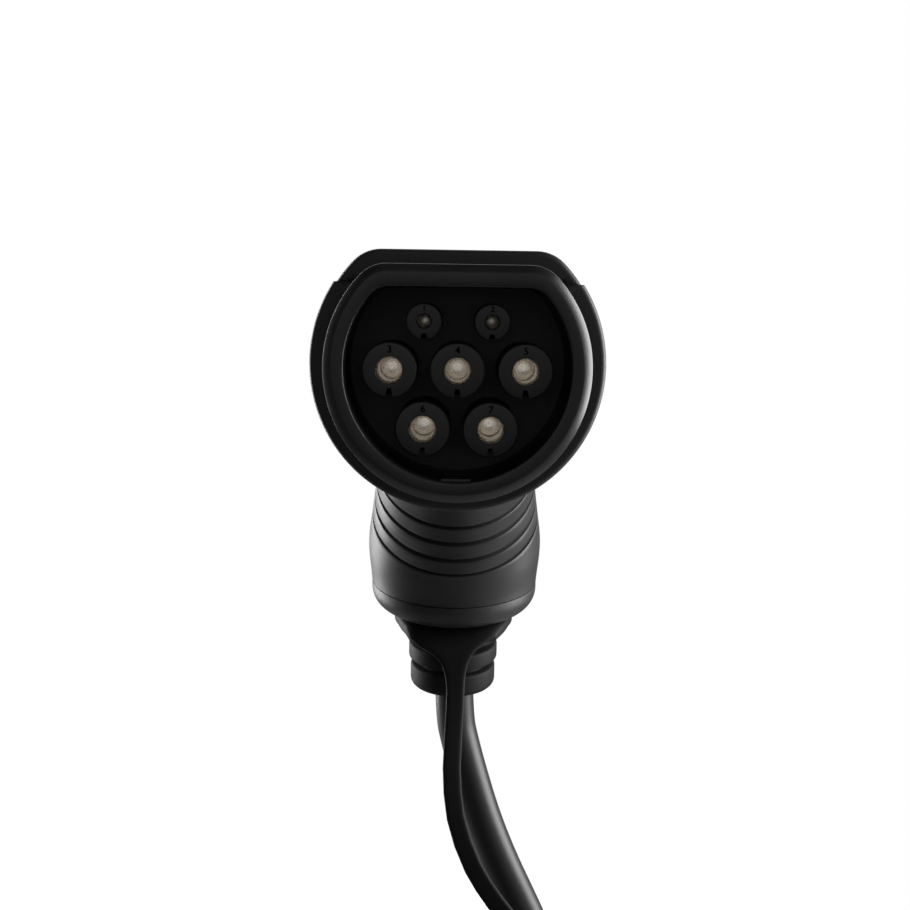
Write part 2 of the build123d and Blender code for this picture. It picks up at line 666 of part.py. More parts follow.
def make_cradle():
    """Seat of the cable's jacket inside the lower shell, with two posts for the clamp's screws."""
    start, end = CLAMP_MIDDLE - CLAMP_LENGTH / 2, CLAMP_MIDDLE + CLAMP_LENGTH / 2
    seat = Pos(0, -25.0) * Rectangle(2 * CLAMP_EARS, 50) - Circle(CABLE_RADIUS + SLIDE_GAP / 2)
    block = tail_slice(seat, start, end)
    inside = tail_ring(SPIGOT_RADIUS - SPIGOT_WALL + 0.5, 0, start, end)
    block = block & inside
    for side in (-1, 1):
        block -= clamp_pin(side, CLAMP_SCREW + SLIDE_GAP, -6.2, 5)
    return block


# tether and dust cap

# flat tongue on the ring: half width and distance in front of the tail axis
TONGUE_PLATE = ((17.5, -6.0), (16.8, -12.0), (15.2, -18.9), (-15.2, -18.9), (-16.8, -12.0), (-17.5, -6.0))
TONGUE_EDGE = 18.9
# tongue bending down below it: distance past the seam, distance in front of the tail axis, width
TONGUE_BEND = (
    (14.21166, -21.54828, 24.0),
    (17.49747, -23.51131, 13.0),
    (21.77846, -24.54719, 7.6),
    (27.00293, -25.97021, STRAP_WIDTH),
)
# strap: place of the section's middle and its width
STRAP_ROUTE = (
    ((-0.4, 88.0, -112.0), STRAP_WIDTH),
    ((-1.0, 82.5, -126.0), STRAP_WIDTH),
    ((0.2, 77.0, -140.0), STRAP_WIDTH),
    ((6.0, 72.0, -154.0), STRAP_WIDTH),
    ((13.5, 69.0, -163.5), STRAP_WIDTH),
    ((19.2, 67.2, -169.5), STRAP_WIDTH),
    ((22.9, STRAP_END_PLACE, -173.6), STRAP_WIDTH),
    ((25.4, STRAP_END_PLACE, -176.9), STRAP_WIDTH),
)


def strap_sections():
    """Flat sections of the tongue and the strap, each across its own way."""
    places = [on_tail(CAP_LENGTH + TETHER_THICKNESS / 2, 0, -TONGUE_EDGE)]
    places += [on_tail(u, 0, h) for u, h, _ in TONGUE_BEND] + [Vector(*p) for p, _ in STRAP_ROUTE]
    widths = [2 * TONGUE_PLATE[2][0]] + [b[-1] for b in TONGUE_BEND + STRAP_ROUTE]
    outward = (places[0] - on_tail(CAP_LENGTH + TETHER_THICKNESS / 2)).normalized()
    sections = []
    for i, (place, width) in enumerate(zip(places, widths)):
        way = (places[min(i + 1, len(places) - 1)] - places[max(i - 1, 0)]).normalized() if i else outward
        sideways = (1, 0, 0) if abs(way.Y) > 0.9 else Vector(0, 1, 0).cross(way)
        sections.append(Plane(origin=place, x_dir=sideways, z_dir=way) * Rectangle(width, TETHER_THICKNESS))
    return sections


def make_tether():
    """Ring between cap and relief, wide tongue, strap, and an eye on the dust cap's stud."""
    end = CAP_LENGTH + TETHER_THICKNESS
    ring = tail_ring(TETHER_RING, 0, CAP_LENGTH, end)
    ring += tail_slice(make_face(Polyline(*TONGUE_PLATE, close=True)), CAP_LENGTH, end)
    ring -= tail_ring(RELIEF_NECK + SLIDE_GAP, 0, CAP_LENGTH - 1, end + 1)
    x, _, z = STUD_PLACE
    front, back = STRAP_END_PLACE - TETHER_THICKNESS / 2, STRAP_END_PLACE + TETHER_THICKNESS / 2
    eye = pin(EYE_DIAMETER, front, back, x, z)
    return ring + loft(strap_sections()) + eye - pin(STUD_DIAMETER + SLIDE_GAP, front - 1, back + 1, x, z)


def make_dust_cap():
    """Cup that fits over the nozzle, with a lug for the strap."""
    x, y, z = DUST_CAP_PLACE
    inner, flat = COLLAR_RADIUS + DUST_CAP_GAP, COLLAR_FLAT + DUST_CAP_GAP
    form = flat_topped(inner + DUST_CAP_WALL, flat + DUST_CAP_WALL, COLLAR_CORNER)
    cup = along_nozzle(form, y, y + DUST_CAP_DEPTH, x, z)
    cup = fillet(cup.faces().sort_by(Axis.Y)[0].edges(), 1.5)
    cup -= along_nozzle(flat_topped(inner, flat, COLLAR_CORNER), y + DUST_CAP_WALL, y + DUST_CAP_DEPTH + 1, x, z)
    back = y + DUST_CAP_DEPTH
    lug = SlotCenterToCenter(LUG_HEIGHT / 2, LUG_WIDTH, rotation=90)
    lug = along_nozzle(lug, back - LUG_THICKNESS, back, x, z + flat + DUST_CAP_WALL + LUG_RISE)
    inside = along_nozzle(flat_topped(inner, flat, COLLAR_CORNER), y, back + 1, x, z)
    x, head_front, z = STUD_PLACE
    stud = pin(STUD_DIAMETER, head_front, back - LUG_THICKNESS, x, z)
    stud += pin(STUD_HEAD, head_front, head_front + STUD_HEAD_THICKNESS, x, z)
    return cup + (lug - inside) + stud


# cable

TOP_TURN = FLOOR + (COIL_LAYERS - 0.5) * CABLE_DIAMETER
FLOOR_TURN = FLOOR + CABLE_RADIUS
COIL_TOP = FLOOR + COIL_LAYERS * CABLE_DIAMETER
BOX_BOTTOM = COIL_TOP
BOX_TOP = BOX_BOTTOM + BOX_HEIGHT
BOX_FRONT = COIL_PLACE[1] - BOX_LENGTH / 2
BOX_BACK = COIL_PLACE[1] + BOX_LENGTH / 2
GLAND_HEIGHT = BOX_TOP - GLAND_DROP
GLAND_MOUTH = BOX_FRONT - GLAND_LENGTH

BOX_MIDDLE = COIL_PLACE[0] + BOX_SHIFT
LEAD_START = COIL_PLACE[1] - COIL_LEAD
RIGHT_TURN = COIL_PLACE[0] + COIL_OUTER_TURN
LEFT_TURN = COIL_PLACE[0] - COIL_OUTER_TURN

HANGING_ROUTE = (
    tuple(on_tail(CABLE_START)),
    tuple(on_tail(44.5)),
    (3.6, 120.5, -131.5),
    (12.6, 119.5, -160.0),
    (27.0, 114.0, -188.0),
    (39.5, 104.0, -213.0),
    (45.6, 98.2, -238.0),
    (RIGHT_TURN, 98.0, -262.5),
    (RIGHT_TURN, 105.4, -285.3),
    (RIGHT_TURN, 119.5, -304.7),
    (RIGHT_TURN, 138.9, -318.8),
    (RIGHT_TURN, 161.7, TOP_TURN),
    (RIGHT_TURN, LEAD_START, TOP_TURN),
)
BOX_ROUTE = (
    (LEFT_TURN, LEAD_START, FLOOR_TURN),
    (LEFT_TURN, 122.0, FLOOR_TURN),
    (LEFT_TURN + 0.5, 92.0, FLOOR_TURN),
    (-144.1, 70.1, FLOOR_TURN),
    (-125.8, 51.8, FLOOR_TURN),
    (-101.9, 41.9, FLOOR_TURN),
    (-76.0, 41.9, FLOOR_TURN + 1.0),
    (-52.1, 51.8, FLOOR_TURN + 6.0),
    (-33.8, 70.1, FLOOR_TURN + 15.0),
    (BOX_MIDDLE, GLAND_MOUTH - 30.0, GLAND_HEIGHT - 6.5),
    (BOX_MIDDLE, GLAND_MOUTH - 10.0, GLAND_HEIGHT),
    (BOX_MIDDLE, GLAND_MOUTH + 10.0, GLAND_HEIGHT),
)


def report_route(name, points, diameter):
    """Print a route's length and radii, and how its tube's volume compares with its section."""
    path = FilletPolyline(*points, radius=bend_radii(points))
    solid = tube(points, diameter)
    share = solid.volume / (path.length * pi * diameter ** 2 / 4)
    radii = ", ".join(f"{r:.0f}" for r in bend_radii(points))
    print(f"{name}: {path.length:.0f} mm, radii {radii}, volume share {share:.4f}")
    return solid


def make_coil():
    """Outer shape of the wound cable, with the two straight ends that lead into it."""
    x, y = COIL_PLACE
    outer = COIL_OUTER_TURN + CABLE_RADIUS - COIL_SLACK
    inner = COIL_OUTER_TURN - (COIL_COLUMNS - 1) * CABLE_DIAMETER - CABLE_RADIUS + COIL_SLACK
    height = COIL_LAYERS * CABLE_DIAMETER - 2 * COIL_SLACK
    ring = Pos(x, y, FLOOR + COIL_SLACK) * extrude(Circle(outer) - Circle(inner), height)
    ring = chamfer(ring.edges().filter_by(GeomType.CIRCLE), COIL_EDGE)
    for turn, place in ((RIGHT_TURN, TOP_TURN), (LEFT_TURN, FLOOR_TURN)):
        ring += pin(CABLE_DIAMETER, LEAD_START, y, turn, place)
    return ring


# control box

def box_form(width, length, corner, low, high):
    """A box with rounded upright corners, lying on the coil."""
    return Pos(BOX_MIDDLE, COIL_PLACE[1], low) * extrude(RectangleRounded(width, length, corner), high - low)


LID_BOTTOM = BOX_TOP - BOX_LID
BOX_SCREW_X = BOX_WIDTH / 2 - 10.0
BOX_SCREW_Y = BOX_LENGTH / 2 - 10.0
BOX_SCREW_PLACES = tuple((sx * BOX_SCREW_X, sy * BOX_SCREW_Y) for sx in (-1, 1) for sy in (-1, 1))


def box_pin(place, diameter, low, high):
    x, y = BOX_MIDDLE + place[0], COIL_PLACE[1] + place[1]
    return Pos(x, y, low) * extrude(Circle(diameter / 2), high - low)


def make_box():
    base = box_form(BOX_WIDTH, BOX_LENGTH, BOX_CORNER, BOX_BOTTOM, LID_BOTTOM - BOX_SEAL)
    base = fillet(base.faces().sort_by(Axis.Z)[0].edges(), 3.0)
    lid = box_form(BOX_WIDTH, BOX_LENGTH, BOX_CORNER, LID_BOTTOM, BOX_TOP)
    lid = fillet(lid.faces().sort_by(Axis.Z)[-1].edges(), 4.0)
    inner = (BOX_WIDTH - 2 * BOX_WALL, BOX_LENGTH - 2 * BOX_WALL, BOX_CORNER - BOX_WALL)
    base -= box_form(*inner, BOX_BOTTOM + BOX_WALL, BOX_TOP)
    lid -= box_form(*inner, BOX_BOTTOM, BOX_TOP - BOX_WALL)
    seal = box_form(BOX_WIDTH - 1.0, BOX_LENGTH - 1.0, BOX_CORNER - 0.5, LID_BOTTOM - BOX_SEAL, LID_BOTTOM)
    seal -= box_form(*inner, LID_BOTTOM - 2 * BOX_SEAL, LID_BOTTOM + BOX_SEAL)
    screws = []
    for place in BOX_SCREW_PLACES:
        base += box_pin(place, 9.0, BOX_BOTTOM + 1.0, LID_BOTTOM)
        lid += box_pin(place, 9.0, LID_BOTTOM, BOX_TOP - 1.0)
        base -= box_pin(place, 3.1, LID_BOTTOM - 14.0, LID_BOTTOM)
        lid -= box_pin(place, 3.4, LID_BOTTOM - 1.0, BOX_TOP)
        lid -= box_pin(place, BOX_SCREW_HEAD + 0.4, BOX_TOP - 3.0, BOX_TOP + 1.0)
        screw = box_pin(place, BOX_SCREW_HEAD, BOX_TOP - 3.0, BOX_TOP - 0.6)
        screw += box_pin(place, 3.0, LID_BOTTOM - 13.0, BOX_TOP - 2.9)
        screws.append(screw)
    x, y = BOX_MIDDLE, COIL_PLACE[1]
    window = Pos(x, y + 30, BOX_TOP - WINDOW_THICKNESS) * extrude(RectangleRounded(*WINDOW_SIZE, 6.0),
                                                               WINDOW_THICKNESS)
    lid -= Pos(x, y + 30, BOX_TOP - WINDOW_THICKNESS) * extrude(
        RectangleRounded(WINDOW_SIZE[0] + 0.2, WINDOW_SIZE[1] + 0.2, 6.1), WINDOW_THICKNESS + 1)
    lid -= Pos(x, y + 30, BOX_TOP - 2 * BOX_WALL) * extrude(
        RectangleRounded(WINDOW_SIZE[0] - 6, WINDOW_SIZE[1] - 6, 4.0), 2 * BOX_WALL)
    for end in (BOX_FRONT, BOX_BACK):
        base -= pin(GLAND_NECK - 4.0 + 0.2, end - 8, end + 8, x, GLAND_HEIGHT)
    board_low = BOX_BOTTOM + BOX_WALL + BOARD_GAP
    for sx in (-1, 1):
        for sy in (-1, 1):
            base += box_pin((sx * 24.0, sy * 55.0), 6.0, BOX_BOTTOM + 1.0, board_low)
    return base, lid, seal, screws, window, board_low


def make_gland(wall, way, bore):
    """Cable gland in an end wall of the box: hexagon, dome nut and inner thread with its nut."""
    x = BOX_MIDDLE
    outside = lambda a, b: (wall - b, wall - a) if way < 0 else (wall + a, wall + b)
    collar = along_nozzle(RegularPolygon(GLAND_HEX / 2, 6), *outside(0, GLAND_HEX_LENGTH), x, GLAND_HEIGHT)
    nut = along_nozzle(RegularPolygon(GLAND_HEX / 2, 6), *outside(GLAND_HEX_LENGTH, 15.0), x, GLAND_HEIGHT)
    nut = nut & pin(GLAND_HEX * 0.96, *outside(0, 20), x, GLAND_HEIGHT)
    dome = pin(GLAND_NECK - 2.5, *outside(15.0, GLAND_LENGTH), x, GLAND_HEIGHT)
    dome = fillet(dome.edges().filter_by(GeomType.CIRCLE).group_by(Axis.Y)[0 if way < 0 else -1], 3.0)
    thread = pin(GLAND_NECK - 4.0, *outside(-9.0, 0), x, GLAND_HEIGHT)
    gland = collar + nut + dome + thread
    if bore:
        gland -= pin(bore, wall - 60, wall + 60, x, GLAND_HEIGHT)
    return gland


def inner_nut(wall, way):
    """Lock nut of a gland, inside the wall."""
    x = BOX_MIDDLE
    span = (wall + BOX_WALL, wall + BOX_WALL + 4.0) if way < 0 else (wall - BOX_WALL - 4.0, wall - BOX_WALL)
    nut = along_nozzle(RegularPolygon(GLAND_HEX / 2 - 0.5, 6), *span, x, GLAND_HEIGHT)
    return nut - pin(GLAND_NECK - 4.0 + 0.1, wall - 20, wall + 20, x, GLAND_HEIGHT)


def write_nozzle():
    save("collar", make_collar())
    save("contact_carrier", make_carrier())
    save("carrier_seal", seal_ring())
    save("contact_retainer", make_retainer())
    save("retainer_screws", *[fixing_screw(x, z) for x, z in FIXING_PLACES])
    springs = []
    for name, (x, z) in POWER_CONTACTS.items():
        save(f"contact_{name}", make_contact(x, z, POWER_BORE, POWER_BORE_DEPTH, POWER_SLEEVE, POWER_BARREL,
                                            SLOT_LENGTH - SPRING_PLACE))
        springs.append(spring_band(x, z, POWER_SLEEVE))
        save(f"core_{name}", make_core(name, x, z, CORE_DIAMETER))
    for name, (x, z) in PILOT_CONTACTS.items():
        save(f"contact_{name}", make_contact(x, z, PILOT_BORE, PILOT_BORE_DEPTH, PILOT_SLEEVE, PILOT_BARREL, 0))
    save("core_control_pilot", make_core("control_pilot", *PILOT_CONTACTS["control_pilot"], PILOT_CORE_DIAMETER))
    save("contact_springs", *springs)
    save("coding_resistor", make_resistor())


def write_housing():
    lower, upper, screws = make_shells()
    save("lower_shell", lower + make_cradle())
    save("upper_shell", upper)
    save("shell_screws", *screws)
    save("tail_cap", make_tail_cap())
    save("strain_relief", make_relief())
    save("cable_clamp", make_clamp())
    save("clamp_screws", clamp_screw(-1), clamp_screw(1))
    save("tether", make_tether())
    save("dust_cap", make_dust_cap())


def write_cable_and_box():
    save("cable", report_route("hanging cable", HANGING_ROUTE, CABLE_DIAMETER))
    save("cable_coil", make_coil())
    save("cable_to_box", report_route("cable to the box", BOX_ROUTE, CABLE_DIAMETER))
    base, lid, seal, screws, window, board_low = make_box()
    save("box_base", base)
    save("box_lid", lid)
    save("box_seal", seal)
    save("box_screws", *screws)
    save("status_window", window)
    x, y = BOX_MIDDLE, COIL_PLACE[1]
    board = Pos(x, y, board_low) * Box(62, 138, BOARD_THICKNESS, align=(Align.CENTER, Align.CENTER, Align.MIN))
    save("circuit_board", board)
    relay = Box(*RELAY_SIZE, align=(Align.CENTER, Align.CENTER, Align.MIN))
    top = board_low + BOARD_THICKNESS
    row = [(i - (RELAYS - 1) / 2) * RELAY_PITCH for i in range(RELAYS)]
    save("relays", *[Pos(x + dx, y - 25, top) * relay for dx in row])
    sensor = Pos(x, y + 12, top) * extrude(Circle(12) - Circle(6), 10)
    save("current_sensor", sensor)
    save("cable_gland", make_gland(BOX_FRONT, -1, CABLE_DIAMETER + SLIDE_GAP))
    save("supply_gland", make_gland(BOX_BACK, 1, 0))
    save("gland_nuts", inner_nut(BOX_FRONT, -1), inner_nut(BOX_BACK, 1))


write_nozzle()
write_housing()
write_cable_and_box()
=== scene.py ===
"""Looks of a portable charger for electric cars: connector, tethered cap, cable and control box."""

from __future__ import annotations

import logging
from collections.abc import Callable, Sequence
from dataclasses import dataclass, field
from enum import Enum
from math import asin, atan2, cos, hypot, pi, radians, sin, sqrt

import bmesh
import bpy
from mathutils import Matrix, Vector
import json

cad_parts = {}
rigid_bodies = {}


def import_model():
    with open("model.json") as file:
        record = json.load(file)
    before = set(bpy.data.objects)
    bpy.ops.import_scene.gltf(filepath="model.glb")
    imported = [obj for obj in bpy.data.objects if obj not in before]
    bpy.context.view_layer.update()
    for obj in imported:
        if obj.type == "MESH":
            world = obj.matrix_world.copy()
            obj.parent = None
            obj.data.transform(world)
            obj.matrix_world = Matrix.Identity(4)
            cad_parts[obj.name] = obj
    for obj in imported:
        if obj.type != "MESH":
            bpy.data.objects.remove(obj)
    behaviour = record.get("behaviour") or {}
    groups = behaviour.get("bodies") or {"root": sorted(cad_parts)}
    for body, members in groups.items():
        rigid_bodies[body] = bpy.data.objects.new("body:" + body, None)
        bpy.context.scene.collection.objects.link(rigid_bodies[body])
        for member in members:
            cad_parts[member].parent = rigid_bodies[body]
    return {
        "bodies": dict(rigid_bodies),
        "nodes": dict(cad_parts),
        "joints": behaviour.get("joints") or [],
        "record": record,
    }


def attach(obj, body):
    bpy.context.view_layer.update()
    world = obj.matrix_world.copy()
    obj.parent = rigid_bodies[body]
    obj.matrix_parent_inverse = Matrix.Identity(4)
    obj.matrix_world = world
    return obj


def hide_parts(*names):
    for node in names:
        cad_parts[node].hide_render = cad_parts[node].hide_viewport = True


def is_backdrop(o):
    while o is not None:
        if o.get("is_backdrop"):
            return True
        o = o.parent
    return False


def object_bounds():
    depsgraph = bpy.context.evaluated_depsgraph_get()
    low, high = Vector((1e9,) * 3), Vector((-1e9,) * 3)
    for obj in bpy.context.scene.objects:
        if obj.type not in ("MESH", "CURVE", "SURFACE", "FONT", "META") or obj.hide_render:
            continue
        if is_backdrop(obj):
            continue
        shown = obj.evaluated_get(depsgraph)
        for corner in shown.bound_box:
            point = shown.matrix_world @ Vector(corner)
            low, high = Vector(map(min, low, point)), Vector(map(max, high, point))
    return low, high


MM = 0.001
LOG = logging.getLogger("charger")
Edge = bmesh.types.BMEdge
Point = tuple[float, float, float]
Colour = tuple[float, float, float]
Profile = Sequence[tuple[float, float]]
Outline = Callable[[float, float], tuple[float, float]]
# millimetres, like every size below unless its name or comment says otherwise
FLOOR = -345.0
HEAD_RISE = 0.7
BASE_FRONT = 23.0
# points closer than this become one, and CAD faces within so many degrees of one plane become one
WELD = 0.0005
CAD_WELD = 0.002
CAD_FLAT_ANGLE = 0.3
# steps round the head, round a quarter of an edge and across a bevelled edge
HEAD_STEPS = 220
QUARTER_STEPS = 5
BEVEL_STEPS = 2


# shader maths


def maths_operator(operation: str, swapped: bool = False) -> Callable[[Wire, Wire | float], Wire]:
    """Python operator that adds a Math node.

    Args:
        operation: The Math node's operation.
        swapped: Whether the other value comes first.

    Returns:
        The method.
    """
    def act(wire: Wire, other: Wire | float) -> Wire:
        """Add the node and give its output."""
        pair = (other, wire) if swapped else (wire, other)
        return wire.graph.maths(operation, *pair)

    return act


@dataclass(frozen=True)
class Wire:
    """A node socket that takes part in shader maths."""

    graph: Graph
    socket: bpy.types.NodeSocket

    __add__ = maths_operator("ADD")
    __radd__ = maths_operator("ADD", True)
    __sub__ = maths_operator("SUBTRACT")
    __rsub__ = maths_operator("SUBTRACT", True)
    __mul__ = maths_operator("MULTIPLY")
    __pow__ = maths_operator("POWER")


class Graph:
    """The node tree of one material or of the world."""

    def __init__(self, tree: bpy.types.NodeTree) -> None:
        """Start from an empty tree."""
        self.tree = tree
        tree.nodes.clear()

    def node(self, kind: str, settings: dict[str, object] | None = None,
             values: dict[str | int, object] | None = None, output: str | int = 0) -> Wire:
        """Add a node.

        Args:
            kind: The node's type name.
            settings: Attributes of the node, set before its inputs.
            values: Values or wires for its input sockets, by name or number.
            output: The output socket that the wire stands for.

        Returns:
            The wire of that output.
        """
        node = self.tree.nodes.new(kind)
        for name, value in (settings or {}).items():
            setattr(node, name, value)
        for key, value in (values or {}).items():
            socket = node.inputs[key]
            if isinstance(value, Wire):
                self.tree.links.new(value.socket, socket)
            else:
                socket.default_value = value
        return Wire(self, node.outputs[output])

    def maths(self, operation: str, first: Wire | float, second: Wire | float = 0.0) -> Wire:
        """Add a Math node on two values."""
        return self.node("ShaderNodeMath", {"operation": operation}, {0: first, 1: second})

    def place(self) -> Wire:
        """Object coordinates in metres."""
        return self.node("ShaderNodeTexCoord", output="Object")

    def noise(self, size_mm: float, detail: float = 2.0, stretch: Point = (1.0, 1.0, 1.0)) -> Wire:
        """Noise whose grains are about so many millimetres wide.

        Args:
            size_mm: Width of a grain.
            detail: Finer levels that are added.
            stretch: Factors on the three coordinates.

        Returns:
            The noise, from 0 to 1.
        """
        place = self.node("ShaderNodeMapping", None, {"Vector": self.place(), "Scale": stretch})
        scale = 1.0 / (size_mm * MM)
        return self.node("ShaderNodeTexNoise", None, {"Vector": place, "Scale": scale, "Detail": detail})

    def axis(self, name: str) -> Wire:
        """One object coordinate, in metres."""
        return self.node("ShaderNodeSeparateXYZ", None, {"Vector": self.place()}, name)

    def ramp(self, value: Wire, low: float, high: float, at_low: float = 0.0, at_high: float = 1.0) -> Wire:
        """Map a range of a value smoothly to another range."""
        ends = {"From Min": low, "From Max": high, "To Min": at_low, "To Max": at_high}
        return self.node("ShaderNodeMapRange", {"interpolation_type": "SMOOTHSTEP"}, {"Value": value, **ends})

    def tint(self, share: Wire, low: Colour, high: Colour) -> Wire:
        """Blend two colours."""
        return self.node("ShaderNodeMix", {"data_type": "RGBA"},
                         {"Factor": share, 6: (*low, 1.0), 7: (*high, 1.0)}, 2)

    def bump(self, height: Wire, depth_mm: float) -> Wire:
        """A bump from a height of 0 to 1."""
        return self.node("ShaderNodeBump", None, {"Height": height, "Distance": depth_mm * MM})

    def surface(self, values: dict[str, object]) -> None:
        """Close the tree with a surface shader and its output."""
        shader = self.node("ShaderNodeBsdfPrincipled", None, values)
        self.node_output("ShaderNodeOutputMaterial", shader)

    def node_output(self, kind: str, shader: Wire) -> None:
        """Link a shader to a new output node."""
        target = self.tree.nodes.new(kind)
        self.tree.links.new(shader.socket, target.inputs["Surface"])


# finishes


def shade(colour: Colour, factor: float) -> Colour:
    """A colour made lighter or darker."""
    return tuple(min(1.0, c * factor) for c in colour)


@dataclass(frozen=True)
class Finish:
    """A procedural finish. Subclasses lay out its nodes."""

    name: str
    slot: str
    colour: Colour
    rough: float
    spread: tuple[float, float]

    def lay_out(self, graph: Graph) -> None:
        """Fill the material's tree."""
        raise NotImplementedError

    def varied(self, graph: Graph, share: Wire) -> Wire:
        """The colour between the darkest and the lightest of its spread."""
        darkest, lightest = self.spread
        return graph.tint(share, shade(self.colour, darkest), shade(self.colour, lightest))

    def material(self) -> bpy.types.Material:
        """The finish's material, made once."""
        found = bpy.data.materials.get(self.name)
        if found:
            return found
        made = bpy.data.materials.new(self.name)
        made.use_nodes = True
        self.lay_out(Graph(made.node_tree))
        return made


@dataclass(frozen=True)
class Moulded(Finish):
    """Moulded plastic or rubber with a fine spark-eroded grain."""

    colour: Colour = (0.0075, 0.0075, 0.0078)
    rough: float = 0.48
    spread: tuple[float, float] = (0.8, 1.25)
    shine: float = 0.2
    grain_mm: float = 0.42
    grain_depth_mm: float = 0.016
    mottle_mm: float = 9.0

    def lay_out(self, graph: Graph) -> None:
        """Grain in the bump and slow mottling in colour and roughness."""
        grain = graph.noise(self.grain_mm, detail=3.0)
        mottle = graph.noise(self.mottle_mm)
        colour = self.varied(graph, mottle)
        rough = self.rough - 0.05 + mottle * 0.06 + grain * 0.05
        graph.surface({"Base Color": colour, "Roughness": rough, "Specular IOR Level": self.shine,
                       "Normal": graph.bump(grain, self.grain_depth_mm)})


@dataclass(frozen=True)
class Turned(Finish):
    """Turned metal with tool marks round the contacts' axes."""

    colour: Colour = (0.90, 0.85, 0.78)
    rough: float = 0.24
    spread: tuple[float, float] = (0.8, 1.1)
    pitch_mm: float = 0.55
    mark_mm: float = 0.012
    wobble_mm: float = 2.4
    wobble_turns: float = 5.0
    scratch_mm: float = 0.5
    tarnish_mm: float = 3.0

    def lay_out(self, graph: Graph) -> None:
        """Rings across the axis, uneven in depth, and slight tarnish."""
        wobble = graph.noise(self.wobble_mm)
        turn = graph.axis("Y") * (2 * pi / (self.pitch_mm * MM)) + wobble * self.wobble_turns
        rings = graph.maths("SINE", turn) * 0.5 + 0.5
        fine = graph.noise(self.scratch_mm, stretch=(1.0, 3.0, 1.0))
        tarnish = graph.noise(self.tarnish_mm, detail=3.0)
        colour = self.varied(graph, tarnish)
        rough = self.rough + fine * 0.12 + tarnish * 0.08 - 0.08
        height = rings * 0.7 + fine * 0.3
        graph.surface({"Base Color": colour, "Metallic": 1.0, "Roughness": rough,
                       "Normal": graph.bump(height, self.mark_mm)})


@dataclass(frozen=True)
class Jacket(Finish):
    """Extruded cable jacket: smooth, with a faint orange peel."""

    colour: Colour = (0.006, 0.006, 0.0062)
    rough: float = 0.42
    spread: tuple[float, float] = (0.85, 1.2)
    shine: float = 0.2
    wave_mm: float = 3.2
    scuff_mm: float = 0.6
    cloud_mm: float = 14.0
    peel_depth_mm: float = 0.02

    def lay_out(self, graph: Graph) -> None:
        """Slow waves of the extrusion and fine scuffs."""
        waves = graph.noise(self.wave_mm)
        scuffs = graph.noise(self.scuff_mm, detail=3.0)
        colour = self.varied(graph, graph.noise(self.cloud_mm))
        rough = self.rough + scuffs * 0.10 - 0.05
        graph.surface({"Base Color": colour, "Roughness": rough, "Specular IOR Level": self.shine,
                       "Normal": graph.bump(waves * 0.6 + scuffs * 0.4, self.peel_depth_mm)})


@dataclass(frozen=True)
class Lacquered(Finish):
    """Smooth coloured plastic or lacquer, for inner pieces."""

    rough: float = 0.35
    spread: tuple[float, float] = (0.85, 1.12)
    mottle_mm: float = 2.0

    def lay_out(self, graph: Graph) -> None:
        """Slight variation of colour and gloss."""
        mottle = graph.noise(self.mottle_mm)
        colour = self.varied(graph, mottle)
        rough = mottle * 0.1 + self.rough - 0.05
        graph.surface({"Base Color": colour, "Roughness": rough})


class Look(Enum):
    """Every finish of the charger."""

    HOUSING = Moulded("grained_black_plastic", "housing_plastic", rough=0.47)
    COLLAR = Moulded("satin_collar_plastic", "housing_plastic", rough=0.31, shine=0.25, grain_mm=0.5)
    CARRIER = Moulded("carrier_plastic_finish", "carrier_plastic", colour=(0.010, 0.010, 0.0102), rough=0.45,
                      shine=0.26, grain_mm=0.4)
    # the numbers are real marks; their near-black tone without shine is painted shade, standing for the
    # shadow inside engraved numbers
    MARK = Moulded("mark_with_painted_shade", "carrier_plastic", colour=(0.001, 0.001, 0.001), rough=0.8, shine=0.0)
    RUBBER = Moulded("black_rubber", "rubber", colour=(0.005, 0.005, 0.0052), rough=0.6, shine=0.07,
                     grain_mm=0.35, grain_depth_mm=0.01)
    BOX = Moulded("box_plastic", "housing_plastic", colour=(0.016, 0.016, 0.0165), rough=0.5, grain_mm=0.6)
    GLAND = Moulded("gland_plastic_finish", "gland_plastic", rough=0.45, grain_mm=0.3, grain_depth_mm=0.006)
    SILVER = Turned("silvered_contact", "contact_silver")
    # darker silver than the power contacts: painted shade of the deeper, narrower pilot bores
    PILOT_SHADED_SILVER = Turned("pilot_contact_painted_shade", "contact_silver", colour=(0.55, 0.53, 0.49), rough=0.3)
    SPRING = Turned("spring_band", "spring_steel", colour=(0.6, 0.6, 0.6), pitch_mm=1.4)
    SCREW = Turned("zinc_screw", "screw_steel", colour=(0.55, 0.56, 0.58), rough=0.3, pitch_mm=0.8)
    JACKET = Jacket("cable_jacket_finish", "cable_jacket")
    CORE_BLUE = Lacquered("core_blue_finish", "core_blue", (0.03, 0.12, 0.45))
    CORE_GREEN = Lacquered("core_green_finish", "core_green", (0.35, 0.5, 0.05))
    CORE_BROWN = Lacquered("core_brown_finish", "core_brown", (0.2, 0.08, 0.03))
    CORE_BLACK = Lacquered("core_black_finish", "core_black", (0.02, 0.02, 0.02))
    CORE_GREY = Lacquered("core_grey_finish", "core_grey", (0.35, 0.35, 0.36))
    CORE_ORANGE = Lacquered("core_orange_finish", "core_orange", (0.7, 0.3, 0.04))
    RESISTOR = Lacquered("resistor_lacquer", "resistor_body", (0.62, 0.53, 0.38))
    BOARD = Lacquered("board_mask", "board", (0.03, 0.22, 0.1))
    RELAY = Lacquered("relay_case", "relay_plastic", (0.05, 0.05, 0.055), rough=0.5)
    WINDOW = Lacquered("smoked_window", "window_plastic", (0.02, 0.02, 0.022), rough=0.12)


# building meshes


